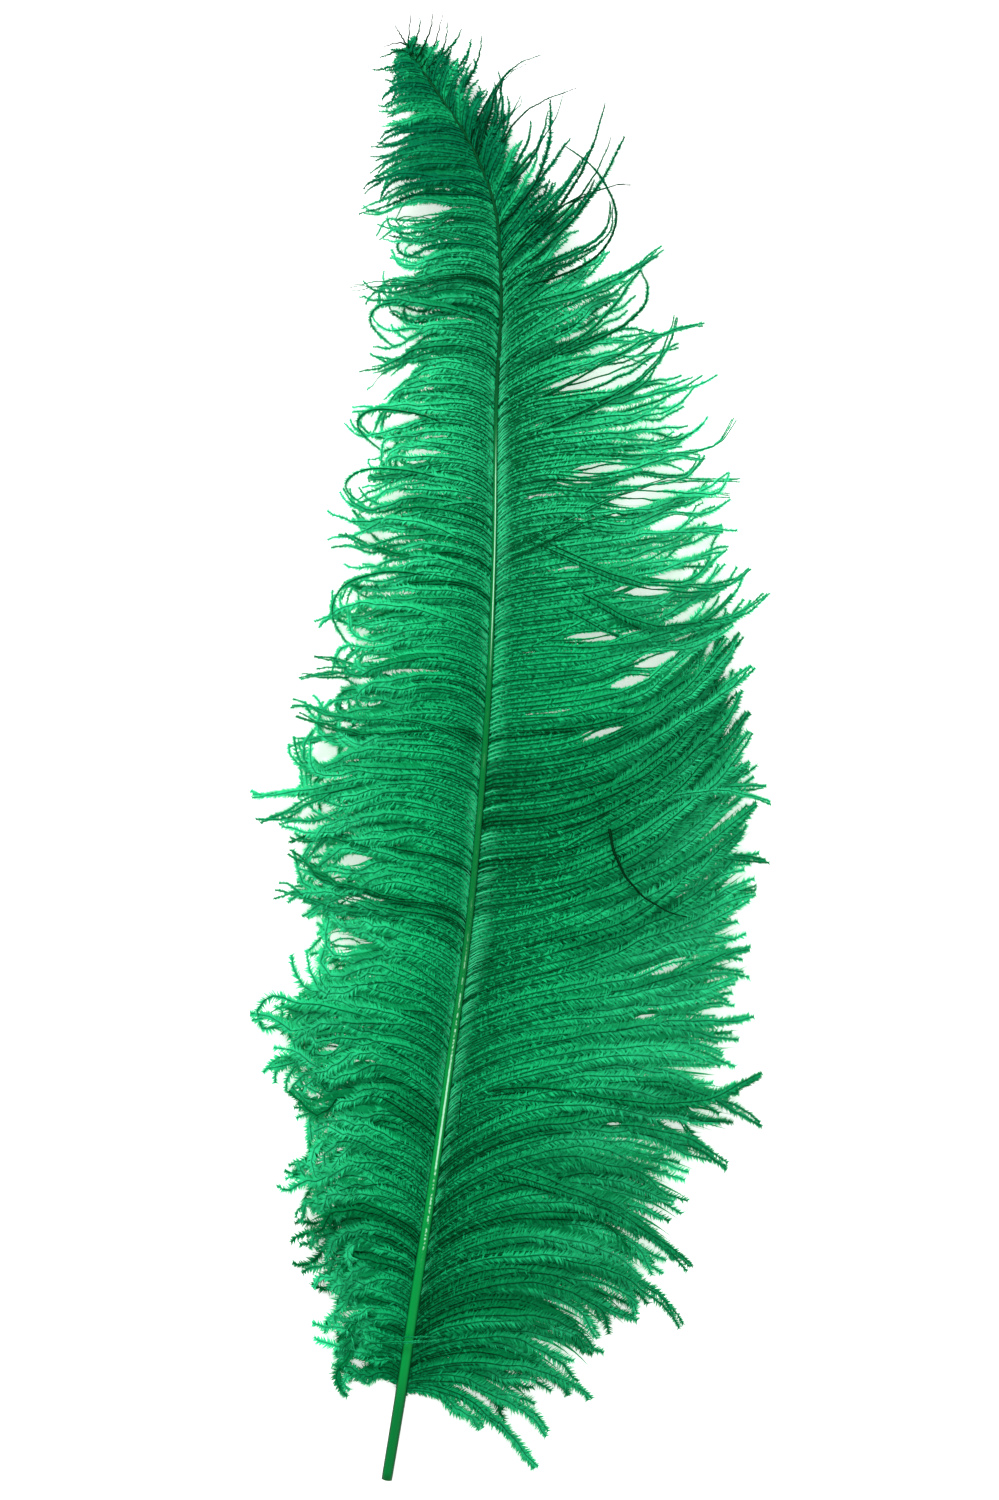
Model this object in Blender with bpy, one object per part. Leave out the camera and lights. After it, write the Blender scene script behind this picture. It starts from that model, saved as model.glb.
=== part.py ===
"""A dyed ostrich wing plume, lying face up on a flat surface.

The plume grew as one piece: a quill with two loose vanes, whose barbs hang together in soft
locks. Y runs along the quill towards the tip, Z is up, and the origin is under the middle of
the plume, on the surface that it lies on. Lengths are in metres. The tables of places are in
millimetres, and MM scales them.
"""

import math

import bmesh
import bpy
import numpy as np

MM = 0.001

# Driving dimensions.
BARE_QUILL_END = -0.300     # y of the cut end of the quill
VANE_START = -0.2615        # y where the lowest barbs leave the quill
VANE_END = 0.281            # y where the last barbs leave the quill
QUILL_STATIONS = 24
QUILL_BEVEL_RESOLUTION = 4  # twelve sides round the quill

# The locks of each vane. Their half widths are shares of the spacing between them.
LOCKS_RIGHT = 34
LOCKS_LEFT = 32
LOCK_SPREAD = 0.6           # share of the barb's length where the locks are evenly spaced
LOCK_FULL_WIDTH = 0.70
SHORT_LOCK_SHARE = 0.5      # a short lock is no wider than this share of its length
LOCK_TIP_WIDTH = 0.0018     # half width of a lock at its tip
LOCK_THICKNESS = 0.12       # half thickness of a lock over its half width
LOCK_TILT = math.radians(9)     # each lock lies on the next one like a shingle
LOCK_STEP = 0.0155          # length of the facets along a lock
FEWEST_STATIONS = 5
MOST_STATIONS = 9
WISP_WIDTH = 0.0024         # half width of a stray wisp

# Width along a lock, from the quill to the tip, as shares of its full width.
PROFILE_AT = (0.0, 0.22, 0.66, 0.86, 1.0)
PROFILE = (0.60, 1.0, 0.94, 0.52, 0.0)

# How the barbs arch over and come down to the surface.
BARB_RISE = 0.0075          # how far the barbs arch above the quill
BARB_FALL = 0.0110          # how high they still are before they drop to the tips
FULL_ARCH_LENGTH = 0.08     # a shorter barb arches less
ARCH_VARIATION = 0.35
HANDLE_SHARE = 1 / 3        # length of a barb's two Bezier handles over its chord
TIP_REST = 0.0006           # height of a tip that lies on the surface
TIP_LIFT = 0.0030           # the most by which some tips stay off it
TIP_JITTER = 0.0045         # how unevenly the locks end
SEED = 7

WELD = 1e-6
ROOT_SAMPLES = 400
CREASE_ANGLE = math.radians(40)
PLUME_GREEN = (0.0, 0.30, 0.09, 1.0)
PLUME_ROUGHNESS = 0.6

# Centre line of the quill in millimetres: y, x, height, radius.
QUILL_LINE = np.array((
    (-300.0, -50.1, 2.2, 2.20),
    (-263.0, -44.0, 4.4, 2.35),
    (-222.0, -37.9, 7.0, 2.35),
    (-180.0, -31.4, 9.6, 2.10),
    (-128.0, -24.0, 12.2, 1.95),
    (-79.0, -17.1, 14.0, 1.65),
    (-30.0, -12.2, 15.0, 1.50),
    (19.0, -8.5, 15.4, 1.40),
    (76.0, -6.1, 14.8, 1.30),
    (142.0, -5.1, 12.8, 1.25),
    (190.0, -3.3, 10.6, 1.20),
    (223.0, -6.5, 8.8, 1.05),
    (248.0, -16.7, 7.0, 0.90),
    (272.0, -32.2, 5.0, 0.70),
    (288.0, -42.4, 3.2, 0.50),
))

# Barbs of each vane in millimetres and degrees: y of the root, x and y of the tip, and the
# slope at which the barb leaves the quill and ends, measured up from straight outwards.
RIGHT_BARBS = np.array((
    (281.0, -29.7, 299.0, 80, 65),
    (248.0, -6.9, 277.0, 70, 62),
    (229.0, 9.5, 259.0, 50, 68),
    (207.0, 25.0, 240.0, 42, 55),
    (170.0, 48.5, 207.0, 35, 45),
    (129.0, 80.0, 158.0, 35, 40),
    (109.0, 91.4, 131.4, 30, 40),
    (76.0, 93.1, 96.7, 30, 25),
    (40.0, 101.2, 64.1, 30, 35),
    (-5.0, 98.4, 17.1, 25, 40),
    (-26.0, 104.0, -11.4, 20, 35),
    (-66.0, 103.5, -52.2, 25, 20),
    (-115.0, 98.4, -99.1, 30, 10),
    (-156.0, 102.4, -139.9, 40, -5),
    (-189.0, 84.1, -174.6, 45, -25),
    (-205.0, 73.9, -201.1, 45, -40),
    (-230.0, 57.6, -233.8, 45, -50),
    (-244.0, 37.2, -254.2, 40, -55),
    (-253.0, 22.0, -272.0, 25, -62),
    (-261.5, 0.0, -282.0, 5, -70),
))
LEFT_BARBS = np.array((
    (281.0, -47.3, 290.0, 45, 0),
    (266.0, -50.1, 268.1, 45, -5),
    (248.0, -58.7, 243.6, 40, -10),
    (231.0, -62.0, 221.1, 30, -10),
    (207.0, -56.7, 204.8, 30, -10),
    (186.5, -64.8, 186.5, 35, 0),
    (158.0, -60.8, 153.8, 35, -15),
    (129.0, -66.9, 129.3, 35, -10),
    (97.0, -71.8, 100.8, 35, 0),
    (60.0, -75.0, 64.1, 35, 0),
    (27.0, -83.6, 27.3, 35, -10),
    (-1.0, -89.3, -1.2, 35, -10),
    (-22.0, -98.0, -21.6, 35, -10),
    (-46.0, -89.3, -46.1, 35, -20),
    (-70.0, -93.4, -64.5, 40, -10),
    (-95.0, -87.3, -82.8, 45, -10),
    (-119.5, -100.7, -109.3, 50, -10),
    (-144.0, -97.5, -137.9, 50, -30),
    (-168.5, -88.1, -164.4, 50, -50),
    (-193.0, -89.3, -188.9, 50, -50),
    (-217.5, -80.3, -221.5, 50, -60),
    (-242.0, -73.0, -246.0, 45, -60),
    (-261.5, -68.1, -267.2, 35, -60),
))

# Stray wisps that stand out from the edge, in the same columns.
RIGHT_WISPS = np.array((
    (246.0, 8.6, 280.3, 66, 25),
    (232.0, 27.0, 268.1, 55, 45),
    (216.0, 39.2, 262.8, 45, 65),
    (207.0, 45.3, 251.7, 42, 55),
    (196.0, 50.6, 228.5, 45, -5),
    (172.0, 60.0, 206.0, 38, 60),
    (-209.0, 71.8, -213.4, 45, -45),
    (-221.5, 67.8, -237.9, 45, -60),
    (-261.5, 7.3, -296.2, 0, -70),
))
LEFT_WISPS = np.array((
    (187.0, -65.7, 187.0, 35, 5),
    (58.0, -77.1, 60.0, 35, 5),
    (-9.4, -105.6, -13.5, 35, -8),
    (-24.0, -102.8, -27.7, 35, -25),
    (-58.0, -94.2, -64.5, 35, -5),
))


def clear_scene():
    """Removes what a new file starts with."""
    for thing in list(bpy.data.objects):
        bpy.data.objects.remove(thing, do_unlink=True)


def make_collection(name):
    """A collection that hangs in the scene."""
    group = bpy.data.collections.new(name)
    bpy.context.scene.collection.children.link(group)
    return group


def make_material(name, colour, roughness):
    """A plain dyed finish."""
    finish = bpy.data.materials.new(name)
    finish.use_nodes = True
    shader = finish.node_tree.nodes["Principled BSDF"]
    shader.inputs["Base Color"].default_value = colour
    shader.inputs["Roughness"].default_value = roughness
    shader.inputs["Metallic"].default_value = 0.0
    return finish


def smooth(rows, at):
    """Every column of rows after the first, read at the values `at` of the first column.

    Between two rows a cubic joins them, and its slope at each row is the central difference.
    """
    rows = rows[np.argsort(rows[:, 0])]
    stations, values = rows[:, 0], rows[:, 1:]
    at = np.clip(np.atleast_1d(at), stations[0], stations[-1])
    slopes = np.gradient(values, stations, axis=0)
    low = np.clip(np.searchsorted(stations, at, side="right") - 1, 0, len(stations) - 2)
    span = (stations[low + 1] - stations[low])[:, None]
    t = (at - stations[low])[:, None] / span
    start = (1 + 2 * t) * (1 - t) ** 2 * values[low] + t * (1 - t) ** 2 * span * slopes[low]
    end = t * t * (3 - 2 * t) * values[low + 1] + t * t * (t - 1) * span * slopes[low + 1]
    return start + end


def quill_at(y):
    """Centre and radius of the quill at the heights y, in metres."""
    x, z, radius = smooth(QUILL_LINE, np.atleast_1d(y) / MM).T * MM
    return np.column_stack((x, np.atleast_1d(y), z)), radius


def bezier(points, t):
    """The cubic with the four given control points, at the values t."""
    t = t[:, None]
    a, b, c, d = points
    return (1 - t) ** 3 * a + 3 * t * (1 - t) ** 2 * b + 3 * t * t * (1 - t) * c + t ** 3 * d


def barb_line(side, barb, rng):
    """The path of a lock from the middle of the quill to its tip, in even facets.

    It leaves at the first slope, arches over a little above the quill and comes down to the
    surface, and arrives at the second slope.
    """
    root_y, tip_x, tip_y, leave, arrive = barb
    root = quill_at(root_y * MM)[0][0]
    tip = np.array((tip_x * MM, tip_y * MM, TIP_REST + TIP_LIFT * rng.random() ** 2))
    chord = np.linalg.norm(tip - root)
    leave, arrive = np.radians((leave, arrive))
    reach = HANDLE_SHARE * chord
    first = root + reach * np.array((side * math.cos(leave), math.sin(leave), 0.0))
    second = tip - reach * np.array((side * math.cos(arrive), math.sin(arrive), 0.0))
    rise, fall = 1 + ARCH_VARIATION * rng.uniform(-1.0, 1.0, 2)
    arch = min(1.0, chord / FULL_ARCH_LENGTH)
    first[2] = root[2] + BARB_RISE * rise * arch
    second[2] = tip[2] + BARB_FALL * fall * arch
    stations = int(np.clip(round(chord / LOCK_STEP) + 2, FEWEST_STATIONS, MOST_STATIONS))
    return bezier((root, first, second, tip), np.linspace(0.0, 1.0, stations))


def lock_widths(stations, full):
    """Half widths along a lock: narrow at the quill, full along the vane, pointed at the tip."""
    shares = np.interp(np.linspace(0.0, 1.0, stations), PROFILE_AT, PROFILE)
    return LOCK_TIP_WIDTH + (full - LOCK_TIP_WIDTH) * shares


def lens_section(group):
    """The cross section that every lock is drawn with: a flat diamond one unit to each side."""
    outline = bpy.data.curves.new("lock_section", "CURVE")
    spline = outline.splines.new("POLY")
    corners = ((1.0, 0.0), (0.0, LOCK_THICKNESS), (-1.0, 0.0), (0.0, -LOCK_THICKNESS))
    spline.points.add(len(corners) - 1)
    for point, (x, y) in zip(spline.points, corners):
        point.co = (x, y, 0.0, 1.0)
    spline.use_cyclic_u = True
    section = bpy.data.objects.new("lock_section", outline)
    section.hide_render = True
    section.display_type = "WIRE"
    group.objects.link(section)
    return section


def add_spline(curve, points, radii, tilt=0.0):
    """One straight-sided spline through the points, with a radius at each."""
    spline = curve.splines.new("POLY")
    spline.points.add(len(points) - 1)
    spline.points.foreach_set("co", np.column_stack((points, np.ones(len(points)))).ravel())
    spline.points.foreach_set("radius", radii)
    spline.points.foreach_set("tilt", np.full(len(points), tilt))


def curve_to_mesh(curve_object, group):
    """The drawn curve as a mesh object, with its loose end caps welded on."""
    bpy.context.view_layer.update()
    drawn = curve_object.evaluated_get(bpy.context.evaluated_depsgraph_get())
    mesh = bpy.data.meshes.new_from_object(drawn)
    name, place = curve_object.name, curve_object.matrix_world.copy()
    bpy.data.objects.remove(curve_object, do_unlink=True)
    solid = bpy.data.objects.new(name, mesh)
    solid.matrix_world = place
    group.objects.link(solid)
    work = bmesh.new()
    work.from_mesh(mesh)
    bmesh.ops.remove_doubles(work, verts=work.verts, dist=WELD)
    bmesh.ops.recalc_face_normals(work, faces=work.faces)
    work.to_mesh(mesh)
    work.free()
    return solid


def make_quill(group):
    """The quill: a round tapering rod, cut off square at its lower end."""
    curve = bpy.data.curves.new("plume", "CURVE")
    curve.dimensions = "3D"
    curve.bevel_depth = 1.0
    curve.bevel_resolution = QUILL_BEVEL_RESOLUTION
    curve.use_fill_caps = True
    heights = np.linspace(BARE_QUILL_END, QUILL_LINE[-1, 0] * MM, QUILL_STATIONS)
    centres, radii = quill_at(heights)
    add_spline(curve, centres, radii)
    quill = bpy.data.objects.new("plume", curve)
    group.objects.link(quill)
    return curve_to_mesh(quill, group)


def spread_roots(barbs, count):
    """Where the locks leave the quill, and their spacing.

    The steps are even at the given share of the barbs' length, so the roots come closer
    together where the barbs fan out.
    """
    roots = np.linspace(VANE_START, VANE_END, ROOT_SAMPLES)
    tips = smooth(barbs, roots / MM)[:, :2] * MM
    line = quill_at(roots)[0][:, :2] * (1 - LOCK_SPREAD) + tips * LOCK_SPREAD
    walked = np.append(0.0, np.cumsum(np.linalg.norm(np.diff(line, axis=0), axis=1)))
    return np.interp(np.linspace(0.0, walked[-1], count), walked, roots), walked[-1] / count


def make_locks(side, barbs, count, wisps, section, rng, group):
    """All the locks of one vane and its stray wisps, crossing each other."""
    curve = bpy.data.curves.new("locks", "CURVE")
    curve.dimensions = "3D"
    curve.twist_mode = "Z_UP"
    curve.bevel_mode = "OBJECT"
    curve.bevel_object = section
    curve.use_fill_caps = True
    roots, spacing = spread_roots(barbs, count)
    for root in roots:
        barb = np.append(root / MM, smooth(barbs, root / MM)[0])
        barb[1:3] += rng.uniform(-1.0, 1.0, 2) * TIP_JITTER / MM
        points = barb_line(side, barb, rng)
        length = np.linalg.norm(points[-1] - points[0])
        full = LOCK_FULL_WIDTH * min(spacing, SHORT_LOCK_SHARE * length)
        widths = lock_widths(len(points), full)
        add_spline(curve, points, widths, -side * LOCK_TILT)
    for wisp in wisps:
        points = barb_line(side, wisp, rng)
        widths = lock_widths(len(points), WISP_WIDTH)
        add_spline(curve, points, widths, -side * LOCK_TILT)
    locks = bpy.data.objects.new("locks_right" if side > 0 else "locks_left", curve)
    group.objects.link(locks)
    return curve_to_mesh(locks, group)


def join(body, addition):
    """Fuses an addition, whose own parts may cross, to a body."""
    addition.hide_render = True
    addition.display_type = "WIRE"
    union = body.modifiers.new("with_" + addition.name, "BOOLEAN")
    union.operation = "UNION"
    union.solver = "EXACT"
    union.use_self = True
    union.object = addition


def keep_outer_skin(body):
    """Bakes the joins and drops the closed pockets that crossing locks leave inside."""
    bpy.context.view_layer.update()
    joined = body.evaluated_get(bpy.context.evaluated_depsgraph_get())
    mesh = bpy.data.meshes.new_from_object(joined)
    body.modifiers.clear()
    body.data = mesh
    work = bmesh.new()
    work.from_mesh(mesh)
    unseen = set(work.verts)
    shells = []
    while unseen:
        front = [unseen.pop()]
        shell = list(front)
        while front:
            near = [e.other_vert(v) for v in front for e in v.link_edges]
            front = [v for v in set(near) if v in unseen]
            unseen.difference_update(front)
            shell += front
        shells.append(shell)
    shells.sort(key=len)
    inner = [v for shell in shells[:-1] for v in shell]
    bmesh.ops.delete(work, geom=inner, context="VERTS")
    work.to_mesh(mesh)
    work.free()


def build():
    """The whole plume, as one solid."""
    clear_scene()
    plume_group = make_collection("ostrich_plume")
    cutters = make_collection("cutters")
    rng = np.random.default_rng(SEED)
    section = lens_section(cutters)
    plume = make_quill(plume_group)
    join(plume, make_locks(1, RIGHT_BARBS, LOCKS_RIGHT, RIGHT_WISPS, section, rng, cutters))
    join(plume, make_locks(-1, LEFT_BARBS, LOCKS_LEFT, LEFT_WISPS, section, rng, cutters))
    keep_outer_skin(plume)
    plume.data.materials.clear()
    plume.data.materials.append(make_material("dyed_plume", PLUME_GREEN, PLUME_ROUGHNESS))
    plume.data.shade_smooth()
    plume.data.set_sharp_from_angle(angle=CREASE_ANGLE)


build()
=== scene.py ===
"""The looks of a dyed ostrich wing plume: its quill, and every barb with its barbules.

Y runs along the quill towards the tip and Z is up, as in the solid that the plume replaces.
Lengths are in metres. The tables of places are in millimetres, and MM scales them.
"""

import math

import bpy
import numpy as np
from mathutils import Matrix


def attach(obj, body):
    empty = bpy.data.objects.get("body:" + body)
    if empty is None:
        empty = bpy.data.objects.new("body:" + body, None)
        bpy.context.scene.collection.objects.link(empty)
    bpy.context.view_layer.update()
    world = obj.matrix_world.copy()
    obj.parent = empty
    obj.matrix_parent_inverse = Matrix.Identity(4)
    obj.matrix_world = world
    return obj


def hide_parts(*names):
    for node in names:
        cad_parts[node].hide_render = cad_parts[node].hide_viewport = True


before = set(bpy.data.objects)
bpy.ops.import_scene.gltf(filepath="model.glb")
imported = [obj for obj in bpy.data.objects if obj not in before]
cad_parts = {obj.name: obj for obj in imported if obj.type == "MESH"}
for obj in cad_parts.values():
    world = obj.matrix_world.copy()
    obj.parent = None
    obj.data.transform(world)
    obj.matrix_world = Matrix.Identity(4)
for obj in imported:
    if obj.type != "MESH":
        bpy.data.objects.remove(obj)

MM = 0.001
SEED = 21
BODY = "root"
SOLID = "plume"

# The quill.
BARE_QUILL_END = -0.300
QUILL_TOP = 0.288
QUILL_RINGS = 180
QUILL_SIDES = 24
QUILL_FLATNESS = 0.92       # height of the quill's section over its width
GROOVE_DEPTH = 0.10         # of the shallow groove along the top, over the radius
GROOVE_WIDTH = 0.34         # of the groove, in radians round the quill
END_UV_RADIUS = 0.012       # of the quill's two end faces in its UV map
# Rings that close the cut end: distance beyond the quill's lowest ring and share of the radius.
CUT_END = ((0.0, 0.93), (0.00025, 0.72), (0.0001, 0.55), (-0.0016, 0.46), (-0.0016, 0.20))

# The barbs.
VANE_START = -0.2600        # y where the lowest barbs leave the quill
VANE_END = 0.2865           # y where the last barbs leave it
BARBS_A_SIDE = 380
BARB_STATIONS = 26
ROOT_SPREAD = 0.4           # share of a barb's length where the barbs are evenly spaced
ROOT_SAMPLES = 400
ROOT_JITTER = 0.0003        # the most by which a root is off its even place
ROOT_SWEEP = 0.0024         # how far a barb runs up the quill before it turns outwards
ROOT_SWEEP_FADE = 0.0028    # over this length
BARB_RISE = 0.0075          # how far the barbs arch above the quill
BARB_FALL = 0.0110          # how high they still are before they drop to the tips
FULL_ARCH_LENGTH = 0.08     # a shorter barb arches less and is slimmer
HANDLE_SHARES = (0.34, 0.42)    # length of a barb's two Bezier handles over its chord
TIP_HEIGHT = 0.0008
TIP_LIFT = 0.0045
LOWEST = 0.00035            # nothing comes closer to the surface
TUBE_SIDES = 3              # of a barb's shaft
RAMUS_RADIUS = 0.00025      # of a barb's shaft where it leaves the quill
RAMUS_TIP_RADIUS = 0.00009
RAMUS_TAPER = 0.8           # power of the distance from the tip by which the shaft thickens
SLIMMEST = 0.55             # share of those radii that the shortest barbs have

# Locks and strays. A scatter is a standard deviation.
LOCK_SIZES = (0.5, 1.5)     # least and most of a barb's part in filling a lock
UNLOCKED_SHARE = 0.06       # of the barbs that hang in no lock
PULL_START = 0.48           # share of a barb's length where the barbs of a lock draw together
PULL_END = 1.08
LOCK_SCATTER = 0.00045      # of a lock's barbs sideways
LOCK_DEPTH_SCATTER = 0.0005     # and up and down
LOCK_TIP_SCATTER = 3.0      # of a lock's tip, in millimetres
LOCK_SLOPE_SCATTERS = (6.0, 13.0)   # of its slopes at the quill and the tip, in degrees
SHORTENING = 1.5            # power of the chance by which a ragged barb is shorter
LOCK_STRETCH = (-0.7, 0.25)     # least and most change of a lock's length over its raggedness
BARB_TIP_SCATTER = 1.2      # of a barb's own tip, in millimetres
LOOSE_SLOPE_SCATTER = 30.0  # of the end slope of a barb in no lock, in degrees
STRAY_COPIES = 3            # barbs in a stray
STRAY_SPREAD = 0.002        # the most between a stray's root and those of its barbs
STRAY_CURL = 0.15           # share of the vane's curl in a stray
CURL_SCATTER = 0.35         # of a barb's own curl, over its lock's
CURL_SPANS = (0.16, 0.34)   # least and most share of a barb's length that curls
CURL_POWER = 1.3            # of the ramp over that length
LOCK_TONE_SHARE = 0.4       # how much of a barb's tone is its lock's
STRAY_TONE_SPREAD = 0.1

# Waves along the barbs: the least and most of their cycles, and their size over the table's.
LOCK_WAVE = (0.8, 1.6, 1.5)
BARB_WAVE = (1.5, 4.0, 0.5)
FRIZZ = (5.0, 9.0, 0.16)
RISE = (0.7, 2.0, 0.6)
LOOSE_FRIZZ = (3.0, 6.0, 0.15)  # this size is in millimetres
LOCK_LAYER_SCATTER = 0.0008     # of the height at which a lock lies in the vane
BARB_LAYER_SCATTER = 0.00025
RIDE_SPAN = (0.22, 0.5)     # share of its length over which a stray comes up through the vane
RIDE_DIP = 0.5              # how far it lies below before that, over its ride

# The partings.
PARTING_SHARES = (0.0, 1.1)     # how far barbs move aside in a parting, over its half width
PARTING_FADE = 3.0          # half widths over which the barbs beside a parting move less
PARTING_THINNING = 0.85     # how much shorter the barbules are in a parting
THINNING_STEEPNESS = 0.8    # of that across the parting, over its half width

# The barbules.
BARBULE_STEP = 0.00020      # along the barb
FEWEST_BARBULES = 6
BARBULE_LEAN = (42.0, 70.0)     # degrees from the barb towards its tip
BARBULE_SCATTER = 18.0      # degrees up and down
BARBULE_DROOP = (-32.0, -8.0)   # degrees, beside the quill and at the tips
DROOP_SPAN = (0.2, 0.9)     # share of a barb's length between the two
BARBULE_ROLL = 22.0         # degrees by which a barb's two combs tilt together at its tip
BARBULE_ROLLS = (1.0, 3.0)  # least and most cycles of that tilt along a barb
BARBULE_START = 0.0007      # from the middle of the quill
LATEST_START = 0.2          # the most of a short barb's length without barbules
CLUMP = 3                   # barbules that cling together
CLUMP_PULL = 0.7
CLUMP_SPAN = (0.3, 0.8)     # share of a barb's length over which the clumps draw together
MIDDLING_REACH = 0.95       # of a barbule with a middling chance, over the mean length
VARIETY = (0.3, 0.8)        # spread of the barbules' lengths beside the quill and at the tip
VARIETY_SPAN = (0.3, 0.7)
OWN_SHARE = 0.25            # of a barbule's lean and length; the rest is its clump's
THICK_SHARE = 0.75          # of a barb's length, where the barbules are broad at their bases
QUILL_FLUFF = 0.85          # share of the barbules' full length beside the quill
QUILL_FLUFF_SPAN = (0.02, 0.20)
TIP_FLUFF_SPAN = (0.45, 1.0)    # where the length falls to the table's share
END_FLUFF = 0.55            # share of the length at the very end of a barb
END_FLUFF_SPAN = (0.86, 1.0)
LOOSE_FLUFF = 0.0028        # full length of the barbules on a loose barb
LOOSE_TIP_FLUFF = 0.8

# The mat: a ragged strip under each barb, partly its tangled lower barbules, partly painted shade.
MAT_STATIONS = 22
MAT_START = 0.01            # share of its length where it begins
LEAST_MAT = 0.05            # share of a barb's length; shorter mats are left out
MAT_DEPTH = 0.0010          # below the barb
MAT_HALF_WIDTH = 0.0016
MAT_FADE = (0.65, 1.04)     # share of its length where it narrows
MAT_RAGGEDNESS = (0.6, 1.3)     # least and most of its half width at a corner

# A barb's row in the UV map. Its middle part is for the shaft and the mat, and each comb has a
# part as wide.
ROW_PARTS = 3.4             # such parts in a row, with the gaps
COMB_BASE = 0.55            # parts between the row's middle line and a comb's base
SHAFT_END_UV = (0.002, 0.2)     # length, and half the width in parts, of a shaft's end face

# What the finish reads as fluff and as painted shade: shaft, barbules' bases and tips, mat.
FLUFF_OF_PARTS = (0.0, 0.35, 1.0, 0.8)
MAT_SHADE_PARTS = (0.0, 0.0, 0.0, 1.0)

# Centre line of the quill: y, x, height, radius.
QUILL_LINE = np.array((
    (-300, -50.1, 2.2, 2.20),
    (-263, -44, 4.4, 2.35),
    (-222, -37.9, 7, 2.35),
    (-180, -31.4, 9.6, 2.10),
    (-128, -24, 12.2, 1.95),
    (-79, -17.1, 14, 1.65),
    (-30, -12.2, 15, 1.50),
    (19, -8.5, 15.4, 1.40),
    (76, -6.1, 14.8, 1.20),
    (142, -5.1, 12.8, 1.00),
    (190, -3.3, 10.6, 0.80),
    (223, -6.5, 8.8, 0.66),
    (248, -16.7, 7, 0.56),
    (272, -32.2, 5, 0.46),
    (288, -42.4, 3.2, 0.32),
))

# Barbs of each vane: y of the root, x and y of the tip, and the slope in degrees at which the
# barb leaves the quill and ends, measured up from straight outwards.
RIGHT_BARBS = np.array((
    (286, -38, 292, 95, 92),
    (276, -29, 290, 85, 80),
    (262, -17.5, 284, 78, 74),
    (248, -8, 272, 70, 66),
    (236, 1, 262, 62, 62),
    (222, 9, 249, 55, 58),
    (207, 20, 238, 46, 54),
    (190, 31, 223, 40, 48),
    (170, 42, 206, 36, 44),
    (150, 56, 184, 34, 42),
    (129, 79, 159, 34, 40),
    (109, 90, 131.4, 30, 40),
    (76, 92, 100, 22, 30),
    (55, 95, 82, 14, 34),
    (40, 97, 70, 9, 38),
    (19, 94, 57, 4, 44),
    (-7, 94.6, 44, 0, 54),
    (-22, 93, 33, -2, 60),
    (-37, 93, 22, -3, 62),
    (-55, 96, 6, -1, 58),
    (-70, 97, -9, 4, 48),
    (-83, 98, -26, 12, 44),
    (-97, 98, -52, 21, 36),
    (-112, 97, -78, 27, 24),
    (-128, 95, -103, 32, 12),
    (-142, 93, -122, 35, 0),
    (-156, 94, -139.9, 38, -10),
    (-175, 87, -160, 42, -20),
    (-189, 80, -176, 45, -28),
    (-205, 70, -201.1, 45, -42),
    (-220, 59, -222, 45, -48),
    (-234, 49, -238, 45, -52),
    (-246, 35, -254.2, 38, -56),
    (-255, 19, -268, 22, -62),
    (-261.5, -2, -279, 5, -70),
))
LEFT_BARBS = np.array((
    (286, -46.5, 287, 10, -10),
    (276, -50.5, 273, 8, -20),
    (262, -54.5, 257, 8, -22),
    (248, -59, 242, 10, -20),
    (234, -61.5, 229, 12, -18),
    (222, -62.5, 217, 16, -14),
    (207, -59, 204.8, 24, -10),
    (186.5, -64.8, 186.5, 30, -4),
    (158, -60.8, 155, 34, -15),
    (129, -66.9, 129.3, 35, -12),
    (97, -71.8, 100.8, 35, -5),
    (60, -75, 64.1, 35, 0),
    (27, -83.6, 27.3, 35, -10),
    (-1, -89.3, -1.2, 35, -10),
    (-22, -98, -21.6, 35, -10),
    (-46, -89.3, -46.1, 35, -20),
    (-70, -93.4, -64.5, 40, -10),
    (-95, -87.3, -82.8, 45, -10),
    (-119.5, -100.7, -109.3, 50, -10),
    (-144, -97.5, -137.9, 50, -30),
    (-168.5, -88.1, -164.4, 50, -50),
    (-193, -89.3, -188.9, 50, -50),
    (-217.5, -80.3, -221.5, 50, -60),
    (-242, -73, -246, 45, -60),
    (-261.5, -68.1, -267.2, 35, -60),
))

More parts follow.
